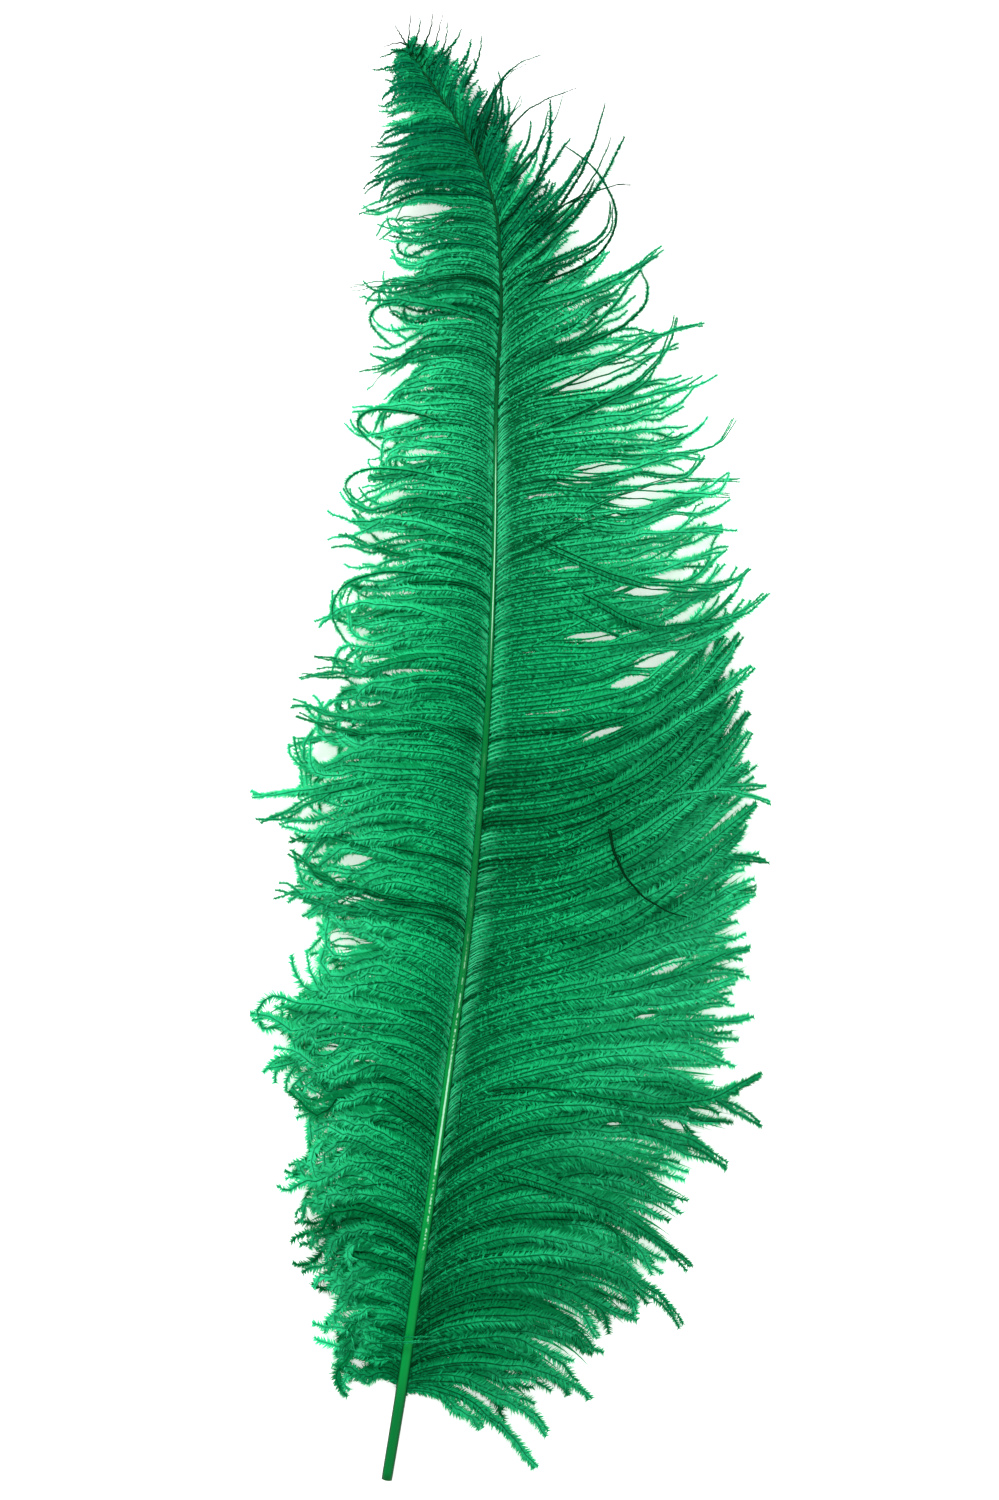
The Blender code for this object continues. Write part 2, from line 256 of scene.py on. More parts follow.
# Strays that stand out from the edge or cross over the vane. After the same columns come the
# share of their barbules, how far they ride above the vane, and their tone: 0 dark, 1 light.
RIGHT_STRAYS = np.array((
    (246, 8.6, 280.3, 66, 25, 0.2, 0, 0),
    (240, 3, 268, 80, 85, 0.3, 0, 0),
    (186, 44, 222, 40, 75, 0.5, 0, 0.2),
    (172, 60.5, 206.5, 38, 60, 0.8, 0, 0.6),
    (196, 50.6, 228.5, 45, -5, 0.2, 0, 0.1),
    (120, 70.6, 175.8, 30, 68, 0.6, 1, 0.3),
    (130, 79.2, 174.2, 32, 22, 0.8, 0.5, 0.4),
    (112, 92.6, 133.8, 28, 46, 0.4, 0, 0.7),
    (78, 94.2, 111, 24, 4, 0.4, 0, 0.5),
    (72, 90.2, 100, 22, -6, 0.4, 0, 0.45),
    (88, 97, 74, -10, 42, 0.8, 1.5, 0.4),
    (80, 93, 60, -24, 38, 0.9, 2.5, 0.15),
    (71, 88, 50, -20, 32, 0.9, 2, 0.35),
    (40, 103.9, 64.6, 6, 38, 0.8, 2, 0.4),
    (5, 95, 45, -2, 50, 1, 1.5, 0.2),
    (-4, 86, 46, -3, 58, 1, 2.5, 0.25),
    (-12, 96.8, 34, -3, 50, 1, 2, 0.45),
    (-17, 94, 36, -2, 52, 1, 1, 0.4),
    (-25, 96, 30, -3, 54, 1, 3, 0.2),
    (-31, 86, 28, -4, 62, 1, 2, 0.4),
    (-37, 92.6, 23, -3, 58, 1, 3, 0.25),
    (-41, 88, 14, -4, 62, 1, 2, 0.4),
    (-46, 96.8, 15.9, -3, 56, 1, 3, 0.2),
    (-55, 97.5, 6.9, 0, 54, 1, 2.5, 0.4),
    (-60, 90, -2, 0, 58, 1, 2, 0.25),
    (-71, 97.5, -7.3, 6, 32, 1, 2.5, 0.3),
    (-76, 99, -22, 8, 40, 1, 2, 0.25),
    (-88, 96, -36, 14, 46, 1, 2.5, 0.3),
    (-96, 92, -46, 20, 44, 1, 2.5, 0.2),
    (-104, 96, -58, 22, 36, 1, 2, 0.4),
    (-118, 98, -84, 28, 22, 1, 1.5, 0.3),
    (-135, 98, -108, 32, 14, 1, 1, 0.35),
    (-50, 104.4, -13, 10, 4, 0.7, 0.5, 0.3),
    (-54, 108, -19.2, 10, -12, 0.6, 0.5, 0.6),
    (-85, 104.4, -50.6, 25, -26, 0.7, 1, 0.2),
    (-92, 102, -60.8, 25, 5, 0.8, 0.5, 0.3),
    (-150, 103.9, -136.3, 35, 25, 0.8, 0.5, 0.1),
    (-160, 102.8, -155, 35, -30, 0.7, 0.5, 0.2),
    (-178, 89.4, -173, 40, -30, 0.8, 0.5, 0.2),
    (-176, 68, -209, 20, -42, 0.8, 2.5, 0.2),
    (-182, 72.6, -214.8, 25, -44, 0.7, 2, 0.1),
    (-221.5, 68, -238.2, 45, -60, 0.7, 0.5, 0.2),
    (-236, 50.6, -236.2, 42, -45, 0.9, 0, 0.3),
    (-256, 30.6, -269.7, 20, -50, 0.9, 0, 0.3),
    (-259, 14.7, -281.9, 5, -65, 0.9, 0, 0.4),
    (-260, 7.8, -296, 0, -75, 0.9, 0, 0.4),
    (-260.5, -14, -279.9, -5, -80, 0.9, 0, 0.5),
))
LEFT_STRAYS = np.array((
    (187, -65.7, 187, 35, 5, 0.3, 0, 0.3),
    (43.7, -80.4, 56.7, 35, 0, 1, 0, 1),
    (23, -78.7, 39.6, 35, 20, 0.6, 0, 0.2),
    (19, -84.5, 34.3, 35, 25, 0.6, 0, 0.2),
    (3, -83.2, 18, 35, 65, 0.5, 0, 0.1),
    (-1, -89.4, 11.8, 35, 0, 0.7, 0, 0.3),
    (-7, -88.1, 6.9, 35, 20, 0.7, 0, 0.3),
    (-28, -105.4, -15.5, 35, 0, 1, 0, 1),
    (-34, -102.4, -29, 35, -30, 0.7, 0, 0.3),
    (-50, -88.1, -30.6, 35, 35, 0.6, 0, 0.1),
    (-70, -89.4, -42, 40, 60, 0.5, 0, 0.1),
    (-75, -88.1, -57.5, 40, 25, 0.7, 0, 0.2),
    (-83, -95.9, -65.7, 40, -5, 0.6, 0, 0.3),
    (-120, -99.7, -105.1, 45, -5, 0.9, 0, 0.5),
    (-130, -104.5, -117.1, 45, -20, 0.9, 0, 0.5),
    (-140, -98.7, -130.6, 45, -45, 0.9, 0, 0.4),
    (-180, -91.8, -169, 50, -30, 0.9, 0, 0.3),
    (-190, -93, -184, 50, -10, 0.7, 0, 0.3),
))

# Places where the vane has parted: middle x and y, half the length, half the width, and the
# slope in degrees.
PARTINGS = (
    (33, 150, 24, 4.4, 24),
    (53, 102, 20, 4.6, 26),
    (34, 112, 16, 3.6, 20),
    (66, 92, 11, 3.2, 30),
    (56, 63, 12, 3.2, 8),
    (34, 45, 15, 2.6, 2),
    (60, 36, 12, 3.2, 22),
    (50, 27, 11, 2.8, 20),
    (38, 6, 11, 2.4, 6),
    (66, -90, 10, 1.9, 16),
    (56, -110, 6, 1.9, 10),
    (83, -108, 7, 2.1, 0),
    (42, -154, 5, 1.9, 0),
    (68, -154, 7, 2.1, -12),
    (-36, 217, 12, 3.6, -6),
    (-52, 150, 9, 2.1, -10),
    (-64, 116, 8, 2.4, -10),
    (-66, 78, 8, 2.1, 0),
    (-64, -46, 7, 2.1, 10),
    (-64, -62, 9, 2.4, 5),
    (-68, -80, 8, 2.4, 0),
    (-72, -122, 7, 1.9, -10),
)

# Barbs that lie on their own: the four corners of a Bezier, then the share of the barbules, the
# tone as for the strays, and their girth over a barb's.
LOOSE_BARBS = (
    ((-13, 240, 7.5), (-5, 262, 10), (-9, 277, 8), (13.9, 283.2, 5), 0.3, 0, 2.6),
    ((-9, 231, 8.2), (0, 257, 10), (6, 262, 8), (28.2, 269.7, 4), 0.25, 0, 2.6),
    ((-4.5, 212, 9.4), (10, 224, 13), (19, 240, 9), (16.7, 264.8, 5), 0.8, 0, 3),
    ((-6, 224, 8.8), (8, 240, 11), (20, 252, 8), (22.8, 270, 4), 0.2, 0.1, 1.8),
    ((-4, 202, 9.9), (24, 214, 13), (34, 240, 9), (39.2, 263.6, 3), 0.5, 0.1, 2.6),
    ((-4, 198, 10.2), (22, 212, 13), (36, 230, 8), (42, 250.5, 3), 0.3, 0.1, 2),
    ((-3.5, 190, 10.6), (20, 204, 14), (36, 224, 9), (47.3, 250, 3), 0.8, 0.2, 2.6),
    ((-3.5, 186, 10.8), (68, 196, 16), (42, 236, 6), (22, 246, 6), 0.4, 0.1, 2.4),
    ((-14, 243, 7.3), (-6, 252, 10), (-4, 262, 8), (-6.1, 272, 6), 0.4, 0, 2.6),
    ((-13.5, 242, 7.4), (-3, 252, 10), (-5, 262, 8), (-2.4, 274, 6), 0.4, 0, 2.6),
    ((-13, 241, 7.4), (-2, 250, 10), (-1, 260, 8), (-4.5, 276.5, 6), 0.4, 0, 2.4),
    ((-12, 238, 7.6), (-1, 246, 10), (1, 256, 8), (-0.5, 266, 6), 0.5, 0.1, 2.4),
    ((-8, 228, 8.4), (4, 236, 11), (10, 248, 8), (8.6, 256, 6), 0.5, 0.1, 2.4),
    ((-7, 226, 8.6), (8, 232, 11), (13, 244, 8), (16, 260, 6), 0.5, 0, 2.4),
    ((-5, 216, 9.2), (8, 222, 12), (16, 236, 9), (25, 249, 5), 0.7, 0.1, 2.4),
    ((-4.6, 212, 9.4), (12, 216, 12), (24, 228, 9), (29, 240, 5), 0.7, 0.3, 2.2),
    ((-3.4, 206, 9.8), (14, 212, 13), (22, 226, 9), (33, 244, 5), 0.7, 0.1, 2.4),
    ((-3.4, 200, 10), (16, 206, 13), (30, 218, 9), (35, 232, 5), 0.7, 0, 2.2),
    ((-5, 150, 12.4), (50, 168, 18), (45, 194, 6), (61, 201, 4), 0.7, 0.4, 1.8),
    ((-5, 152, 12.4), (74, 172, 18), (56, 190, 5), (52, 198, 4), 0.6, 0.3, 1.8),
    ((-41.5, 284, 3.6), (-41, 290, 4.5), (-41, 295, 4), (-40, 300, 3), 0.1, 0, 3.4),
    ((-38, 281, 4.2), (-34, 288, 5.5), (-31, 294, 4.5), (-31.4, 300.3, 3), 0.1, 0, 4.4),
    ((-36, 278, 4.5), (-29, 286, 5.5), (-29, 294, 4.5), (-27, 300, 3), 0.1, 0, 3.2),
    ((-33, 273, 5), (-26, 284, 6), (-25, 292, 4.5), (-25.3, 297, 3), 0.2, 0, 3),
    ((-24, 261, 6), (-13, 276, 8), (-11, 284, 5), (-11.4, 291.3, 3), 0.3, 0.1, 3),
    ((-42, 287.5, 3.2), (-45, 289, 4), (-48, 288, 3.5), (-51.5, 286.5, 2.5), 0.1, 0, 3.2),
    ((-42.2, 287.8, 3.2), (-44, 291, 4), (-46, 294, 3.5), (-47, 296, 2.5), 0.1, 0, 3.2),
    ((-40.5, 283, 4), (-38, 289, 5), (-36, 294, 4.5), (-36.5, 298.5, 3), 0.2, 0.1, 3.4),
    ((-34, 277, 4.8), (-26, 284, 6), (-21, 288, 5), (-19.5, 294, 3), 0.4, 0.2, 3),
    ((-30, 270, 5.2), (-20, 278, 7), (-16, 282, 5), (-15.5, 290, 3), 0.5, 0.2, 2.6),
    ((-42, 285, 3.4), (-46, 286, 4.2), (-49, 283, 3.6), (-53, 282.5, 2.5), 0.3, 0.2, 2.8),
    ((-39, 280, 4), (-45, 281, 4.8), (-51, 276, 3.8), (-56, 277.5, 2.5), 0.4, 0.2, 2.4),
    ((-6, 199, 9.5), (-30, 212, 12), (-44, 210, 9), (-36, 217, 8), 0.5, 0.4, 1.6),
    ((-7, 204, 9.4), (-34, 222, 12), (-56, 216, 8), (-41, 211.5, 7), 0.5, 0.5, 1.6),
    ((-6, 172, 11), (-42, 190, 14), (-74, 180, 8), (-46, 163, 6), 0.8, 0.4, 1.8),
    ((-6.5, 120, 13), (-42, 146, 17), (-80, 140, 8), (-52, 121, 6), 0.8, 0.3, 1.8),
    ((-7, 98, 14), (-46, 124, 18), (-84, 112, 8), (-58, 98, 6), 0.8, 0.5, 1.8),
    ((-8, 60, 14.8), (-50, 84, 19), (-94, 66, 8), (-60, 36, 6), 0.8, 0.4, 1.8),
    ((27.5, -12.5, 23), (32, -15, 22.5), (36, -20, 22), (38.5, -26, 20), 0.1, 0, 1.6),
    ((40.5, -33, 21), (42.5, -50, 23), (52, -64, 23), (72, -69, 20), 0.15, 0, 4.6),
    ((-19, -139, 22), (-20.5, -148, 22), (-20, -156, 21), (-21.5, -166, 20),
     0.05, 0, 1.8),
    ((-58, -243.5, 9), (-48, -242, 10.5), (-38, -243, 10.5), (-27, -241.5, 9),
     0.3, 0.4, 1.2),
    ((-56, -240.5, 9), (-46, -241, 10), (-36, -240, 10), (-29, -240.5, 9),
     0.2, 0.35, 1),
)

# Character of the barbs along each vane: y of the root, barbs in a lock, how far a lock draws
# them together, curl of the ends and its spread in degrees, length of the barbules, their length
# at the barb's tip as a share of that, sideways wave of a barb, how ragged the ends are, how
# crowded the roots are, the mean tone, the share of a barb's length that the mat reaches, how
# far the tones spread, and the girth of the shafts.
CHARACTER = ("lock_size", "pull", "curl", "curl_spread", "fluff", "tip_fluff", "wave",
             "raggedness", "crowding", "tone", "mat_reach", "tone_spread", "girth")
RIGHT_CHARACTER = np.array((
    (286, 2, 0.30, 0, 10, 2.9, 0.35, 0.6, 0.26, 0.90, 0.28, 0.62, 1.3, 1.5),
    (235, 2.5, 0.50, 0, 10, 2.9, 0.4, 0.9, 0.26, 0.85, 0.33, 0.58, 1.4, 1.6),
    (190, 3, 0.70, 0, 14, 2.8, 0.6, 1.3, 0.22, 0.90, 0.60, 0.56, 1.7, 2),
    (120, 4, 0.85, 5, 18, 2.8, 0.72, 2, 0.20, 1, 0.94, 0.58, 1.7, 2),
    (40, 4, 0.7, 4, 18, 2.9, 0.85, 2.2, 0.12, 1, 0.88, 0.80, 1.2, 1.4),
    (-30, 3, 0.25, 0, 10, 3.1, 1.00, 1.8, 0.08, 1, 0.50, 1, 1, 1.9),
    (-90, 2.5, 0.3, 0, 14, 3.4, 1.10, 2.2, 0.1, 1, 0.74, 1, 1, 1.6),
    (-180, 2.5, 0.32, -5, 18, 3.6, 1.15, 2.2, 0.13, 1, 0.54, 1, 1.1, 1.4),
    (-261, 2.5, 0.4, -5, 22, 3.5, 1.15, 2, 0.18, 1.1, 0.26, 0.95, 1.1, 1.4),
))
LEFT_CHARACTER = np.array((
    (286, 2, 0.30, 0, 18, 2.9, 0.35, 0.6, 0.22, 1.00, 0.24, 0.72, 1.4, 1.4),
    (235, 2.5, 0.40, 0, 25, 2.9, 0.4, 0.9, 0.24, 1.00, 0.26, 0.76, 1.4, 1.5),
    (190, 3.5, 0.65, 10, 60, 2.7, 0.55, 1.8, 0.22, 0.95, 0.54, 0.66, 1.7, 1.9),
    (120, 4, 0.75, 20, 80, 2.7, 0.65, 2.1, 0.18, 1, 0.62, 0.66, 1.7, 1.9),
    (40, 4, 0.70, 10, 95, 2.8, 0.80, 2.2, 0.18, 1, 0.66, 0.75, 1.3, 1.3),
    (-30, 3.5, 0.60, 0, 95, 3, 0.95, 3, 0.16, 1, 0.7, 0.80, 1.2, 1.4),
    (-90, 3, 0.65, -30, 100, 3.3, 1.05, 4, 0.18, 1, 0.7, 0.85, 1.4, 1.4),
    (-180, 2.5, 0.72, -60, 105, 3.4, 1.10, 4.6, 0.18, 1, 0.64, 0.85, 2.2, 1.7),
    (-261, 2.5, 0.6, -50, 85, 3.4, 1.10, 3.4, 0.22, 1.1, 0.34, 0.85, 1.8, 1.5),
))

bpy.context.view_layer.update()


def smooth(rows, at):
    """Every column of rows after the first, read at the values `at` of the first column.

    Between two rows a cubic joins them, and its slope at each row is the central difference.
    """
    rows = rows[np.argsort(rows[:, 0])]
    stations, values = rows[:, 0], rows[:, 1:]
    at = np.clip(np.atleast_1d(at), stations[0], stations[-1])
    slopes = np.gradient(values, stations, axis=0)
    low = np.clip(np.searchsorted(stations, at, side="right") - 1, 0, len(stations) - 2)
    span = (stations[low + 1] - stations[low])[:, None]
    t = (at - stations[low])[:, None] / span
    start = (1 + 2 * t) * (1 - t) ** 2 * values[low] + t * (1 - t) ** 2 * span * slopes[low]
    end = t * t * (3 - 2 * t) * values[low + 1] + t * t * (t - 1) * span * slopes[low + 1]
    return start + end


def quill_at(y):
    """Centre and radius of the quill at the places y along it."""
    x, z, radius = smooth(QUILL_LINE, np.atleast_1d(y) / MM).T * MM
    return np.column_stack((x, np.atleast_1d(y), z)), radius


def nature_at(character, roots):
    """The character of the barbs that leave the quill at the roots, each column by its name."""
    return dict(zip(CHARACTER, smooth(character, roots / MM).T))


def ramp(low, high, value):
    """Nought below low and one above high, with 3t squared less 2t cubed between."""
    t = np.clip((value - low) / (high - low), 0.0, 1.0)
    return t * t * (3 - 2 * t)


def blend(low, high, share):
    """From low, where the share is nought, to high, where it is one."""
    return low + (high - low) * share


def unit(vectors):
    """Vectors scaled to length one."""
    return vectors / np.maximum(np.linalg.norm(vectors, axis=-1, keepdims=True), 1e-12)


def frames_along(paths):
    """Ahead, sideways and up at each point of paths of shape (barbs, stations, 3).

    Ahead is the central difference, sideways is ahead crossed with Z, and up is sideways
    crossed with ahead.
    """
    ahead = unit(np.gradient(paths, axis=1))
    sideways = unit(np.cross(ahead, (0.0, 0.0, 1.0)))
    return ahead, sideways, np.cross(sideways, ahead)


def bezier(corners, t):
    """Points at t on cubic Beziers whose four corners are given."""
    a, b, c, d = corners
    return (1 - t) ** 3 * a + 3 * t * (1 - t) ** 2 * b + 3 * t * t * (1 - t) * c + t ** 3 * d


def bezier_paths(side, roots, rows, heights, shares):
    """One cubic Bezier per barb, from the middle of the quill to the barb's tip.

    The handles point along the two slopes, and HANDLE_SHARES of the chord are their lengths.
    The first lies BARB_RISE above the root and the second BARB_FALL above the tip, each less
    on a short barb. A barb's share says how much of its path it follows.
    """
    start = quill_at(roots)[0]
    leave, arrive = np.radians(rows[:, 2]), np.radians(rows[:, 3])
    end = np.column_stack((rows[:, :2] * MM, heights))
    chord = np.linalg.norm(end - start, axis=1)
    near, far = (share * chord[:, None] for share in HANDLE_SHARES)
    flat = np.zeros(len(roots))
    first = start + near * np.column_stack((side * np.cos(leave), np.sin(leave), flat))
    second = end - far * np.column_stack((side * np.cos(arrive), np.sin(arrive), flat))
    arch = np.minimum(1.0, chord / FULL_ARCH_LENGTH)
    first[:, 2] = start[:, 2] + BARB_RISE * arch
    second[:, 2] = end[:, 2] + BARB_FALL * arch
    t = (shares[:, None] * np.linspace(0.0, 1.0, BARB_STATIONS))[:, :, None]
    return bezier([points[:, None] for points in (start, first, second, end)], t), t[:, :, 0]


def curl_ends(side, paths, turn, span):
    """The paths with their outer ends turned in plan.

    Each step along a path is rotated by the path's turn times a smooth ramp over its last
    span, and the steps are added up again from the root. A positive turn bends the end up
    towards the plume's tip.
    """
    steps = np.diff(paths, axis=1)
    u = np.linspace(0.0, 1.0, steps.shape[1])
    angle = side * np.radians(turn)[:, None] * ramp(1 - span[:, None], 1.0, u) ** CURL_POWER
    x = steps[:, :, 0] * np.cos(angle) - steps[:, :, 1] * np.sin(angle)
    y = steps[:, :, 0] * np.sin(angle) + steps[:, :, 1] * np.cos(angle)
    turned = np.stack((x, y, steps[:, :, 2]), axis=2)
    return np.concatenate((paths[:, :1], paths[:, :1] + np.cumsum(turned, axis=1)), axis=1)


def waves(kind, u, count, rng):
    """A sine along each of a number of barbs, with even chances for its cycles and its phase."""
    low, high, size = kind
    cycles = rng.uniform(low, high, count)[:, None]
    return size * np.sin(2 * math.pi * (cycles * u + rng.random(count)[:, None]))


def spread_roots(barbs, character, count):
    """Where the barbs leave the quill: evenly spaced at ROOT_SPREAD of their length.

    So the roots come closer together where the barbs fan out. The crowding in the table of
    characters draws them closer still.
    """
    roots = np.linspace(VANE_START, VANE_END, ROOT_SAMPLES)
    tips = smooth(barbs, roots / MM)[:, :2] * MM
    line = quill_at(roots)[0][:, :2] * (1 - ROOT_SPREAD) + tips * ROOT_SPREAD
    crowding = nature_at(character, roots[1:])["crowding"]
    steps = np.linalg.norm(np.diff(line, axis=0), axis=1) * crowding
    walked = np.append(0.0, np.cumsum(steps))
    return np.interp(np.linspace(0.0, walked[-1], count), walked, roots)


def place_in_parting(points, parting):
    """How far points lie ahead and aside of a parting's middle, over its half length and width."""
    x, y, half_length, half_width, slope = parting
    cosine, sine = math.cos(math.radians(slope)), math.sin(math.radians(slope))
    dx, dy = points[..., 0] / MM - x, points[..., 1] / MM - y
    return (dx * cosine + dy * sine) / half_length, (dy * cosine - dx * sine) / half_width


def part_barbs(paths, share):
    """The paths moved aside where the vane has parted, each by its share.

    Across the middle line of a parting each barb moves to its own side by the half width
    times one less the square of (distance ahead over half length), and times a decay of
    PARTING_FADE half widths away from the line.
    """
    barbs = np.arange(len(paths))
    for parting in PARTINGS:
        ahead, aside = place_in_parting(paths, parting)
        nearest = np.argmin(np.abs(ahead), axis=1)
        hand = np.where(aside[barbs, nearest] > 0, 1.0, -1.0)[:, None]
        opening = parting[3] * MM * np.maximum(1 - ahead ** 2, 0.0)
        shift = share[:, None] * hand * opening * np.exp(-np.abs(aside) / PARTING_FADE)
        paths[:, :, 0] -= shift * math.sin(math.radians(parting[4]))
        paths[:, :, 1] += shift * math.cos(math.radians(parting[4]))
    return paths


def depth_in_partings(points):
    """One in the middle of a parting, and a bell of the distances ahead and aside round it."""
    depth = np.zeros(len(points))
    for parting in PARTINGS:
        ahead, aside = place_in_parting(points, parting)
        depth = np.maximum(depth, np.exp(-ahead ** 2 - (THINNING_STEEPNESS * aside) ** 2))
    return depth


def distance_along(paths):
    """How far each station lies along its barb."""
    steps = np.linalg.norm(np.diff(paths, axis=1), axis=2)
    return np.column_stack((np.zeros(len(paths)), np.cumsum(steps, axis=1)))


def lay_out(barbs, strays, character, rng):
    """Where the barbs of a vane leave the quill and end, and which lock each hangs in.

    Neighbours fill a lock until their parts, even chances within LOCK_SIZES over the lock size
    in the table, add up to one. The strays come last, and each is a lock of STRAY_COPIES barbs.
    """
    even = spread_roots(barbs, character, BARBS_A_SIDE)
    even += rng.uniform(-ROOT_JITTER, ROOT_JITTER, BARBS_A_SIDE)
    lock_size = nature_at(character, even)["lock_size"]
    lock = np.floor(np.cumsum(rng.uniform(*LOCK_SIZES, BARBS_A_SIDE) / lock_size)).astype(int)
    loose = rng.random(BARBS_A_SIDE) < UNLOCKED_SHARE
    copies = np.repeat(strays, STRAY_COPIES, axis=0)
    own_lock = lock[-1] + 1 + np.repeat(np.arange(len(strays)), STRAY_COPIES)
    spread = rng.uniform(-STRAY_SPREAD, STRAY_SPREAD, len(copies))
    roots = np.concatenate((even, copies[:, 0] * MM + spread))
    return {
        "roots": roots,
        "rows": np.concatenate((smooth(barbs, even / MM), copies[:, 1:5])),
        "lock": np.concatenate((lock, own_lock)),
        "loose": np.concatenate((loose, np.zeros(len(copies), bool))),
        "stray": np.arange(len(roots)) >= BARBS_A_SIDE,
        "barbule_share": np.concatenate((np.ones(BARBS_A_SIDE), copies[:, 5])),
        "ride": np.concatenate((np.zeros(BARBS_A_SIDE), copies[:, 6])) * MM,
        "stray_tones": copies[:, 7],
        "nature": nature_at(character, roots),
    }


def tip_heights(count, rng):
    """TIP_HEIGHT, and TIP_LIFT times the square of an even chance."""
    return TIP_HEIGHT + TIP_LIFT * rng.random(count) ** 2


def guide_locks(plan, character, rng):
    """The middle root, row and tip height of every lock.

    They are the means of its barbs' with some scatter, and the lock is then stretched from its
    root by its raggedness times an even chance within LOCK_STRETCH. Strays keep their rows.
    """
    lock = plan["lock"]
    count = lock.max() + 1
    members = np.maximum(np.bincount(lock, minlength=count), 1)
    middle = np.bincount(lock, plan["roots"], count) / members
    guides = np.column_stack([np.bincount(lock, column, count) / members
                              for column in plan["rows"].T])
    regular = np.arange(count) <= lock[BARBS_A_SIDE - 1]
    guides[:, :2] += regular[:, None] * rng.normal(0.0, LOCK_TIP_SCATTER, (count, 2))
    for column, scatter in enumerate(LOCK_SLOPE_SCATTERS, start=2):
        guides[:, column] += regular * rng.normal(0.0, scatter, count)
    start = quill_at(middle)[0][:, :2] / MM
    raggedness = nature_at(character, middle)["raggedness"]
    stretch = 1 + raggedness * regular * rng.uniform(*LOCK_STRETCH, count)
    guides[:, :2] = start + (guides[:, :2] - start) * stretch[:, None]
    return middle, guides, tip_heights(count, rng)


def hang_in_locks(side, plan, character, rng):
    """Every barb's own path, and its path drawn towards its lock's middle past PULL_START.

    A barb follows less of its path by its raggedness times a chance to the power SHORTENING.
    """
    middle, guides, guide_heights = guide_locks(plan, character, rng)
    lock, loose, nature = plan["lock"], plan["loose"], plan["nature"]
    count = len(lock)
    own = plan["rows"].copy()
    own[:, :2] += rng.normal(0.0, BARB_TIP_SCATTER, (count, 2))
    own[:, 3] += loose * rng.normal(0.0, LOOSE_SLOPE_SCATTER, count)
    shares = 1 - nature["raggedness"] * rng.random(count) ** SHORTENING
    shares[plan["stray"]] = 1.0
    free, t = bezier_paths(side, plan["roots"], own, tip_heights(count, rng), shares)
    led = bezier_paths(side, middle[lock], guides[lock], guide_heights[lock], shares)[0]
    led[:, :, :2] += rng.normal(0.0, LOCK_SCATTER, (count, 1, 2))
    led[:, :, 2] += rng.normal(0.0, LOCK_DEPTH_SCATTER, (count, 1))
    pull = np.where(loose, 0.0, nature["pull"])[:, None] * ramp(PULL_START, PULL_END, t)
    return free, free + (led - free) * pull[:, :, None]


def curl_locks(side, paths, plan, rng):
    """The paths with the ends of each lock curled by its own turn and a little by each barb's."""
    lock, nature = plan["lock"], plan["nature"]
    count = lock.max() + 1
    curl = rng.normal(0.0, 1.0, count)[lock] + rng.normal(0.0, CURL_SCATTER, len(lock))
    turn = nature["curl"] + nature["curl_spread"] * curl
    turn[plan["stray"]] *= STRAY_CURL
    return curl_ends(side, paths, turn, rng.uniform(*CURL_SPANS, count)[lock])


def wave_barbs(paths, plan, rng):
    """The paths with their waves, their layers in the vane and the ride of the strays.

    Sideways goes a wave that a lock shares and one of each barb's own, both times the square
    of the distance along, and then the frizz. Each barb and lock also lies in a layer of its
    own, by a sine that is nought at both ends, and a stray comes up through the vane.
    """
    lock = plan["lock"]
    locks, count = lock.max() + 1, len(lock)
    u = np.linspace(0.0, 1.0, BARB_STATIONS)
    drift = waves(LOCK_WAVE, u, locks, rng)[lock] * u * u
    drift += waves(BARB_WAVE, u, count, rng) * u * u
    drift += waves(FRIZZ, u, count, rng) * ramp(0.2, 0.8, u)
    rise = waves(RISE, u, count, rng) * u
    size = plan["nature"]["wave"][:, None] * MM
    layer = rng.normal(0.0, LOCK_LAYER_SCATTER, locks)[lock]
    layer += rng.normal(0.0, BARB_LAYER_SCATTER, count)
    paths = paths + (size * drift)[:, :, None] * frames_along(paths)[1]
    paths[:, :, 2] += size * rise + layer[:, None] * np.sin(math.pi * u)
    paths[:, :, 2] += plan["ride"][:, None] * ((1 + RIDE_DIP) * ramp(*RIDE_SPAN, u) - RIDE_DIP)
    return paths


def tones_of(plan, rng):
    """The tones of the barbs: the table's, spread by a chance of the lock's and one of its own."""
    lock, nature, stray_tones = plan["lock"], plan["nature"], plan["stray_tones"]
    chance = LOCK_TONE_SHARE * rng.random(lock.max() + 1)[lock]
    chance += (1 - LOCK_TONE_SHARE) * rng.random(len(lock))
    tone = nature["tone"] + (chance - 0.5) * nature["tone_spread"]
    tone[plan["stray"]] = stray_tones + STRAY_TONE_SPREAD * rng.random(len(stray_tones))
    return np.clip(tone, 0.0, 1.0)


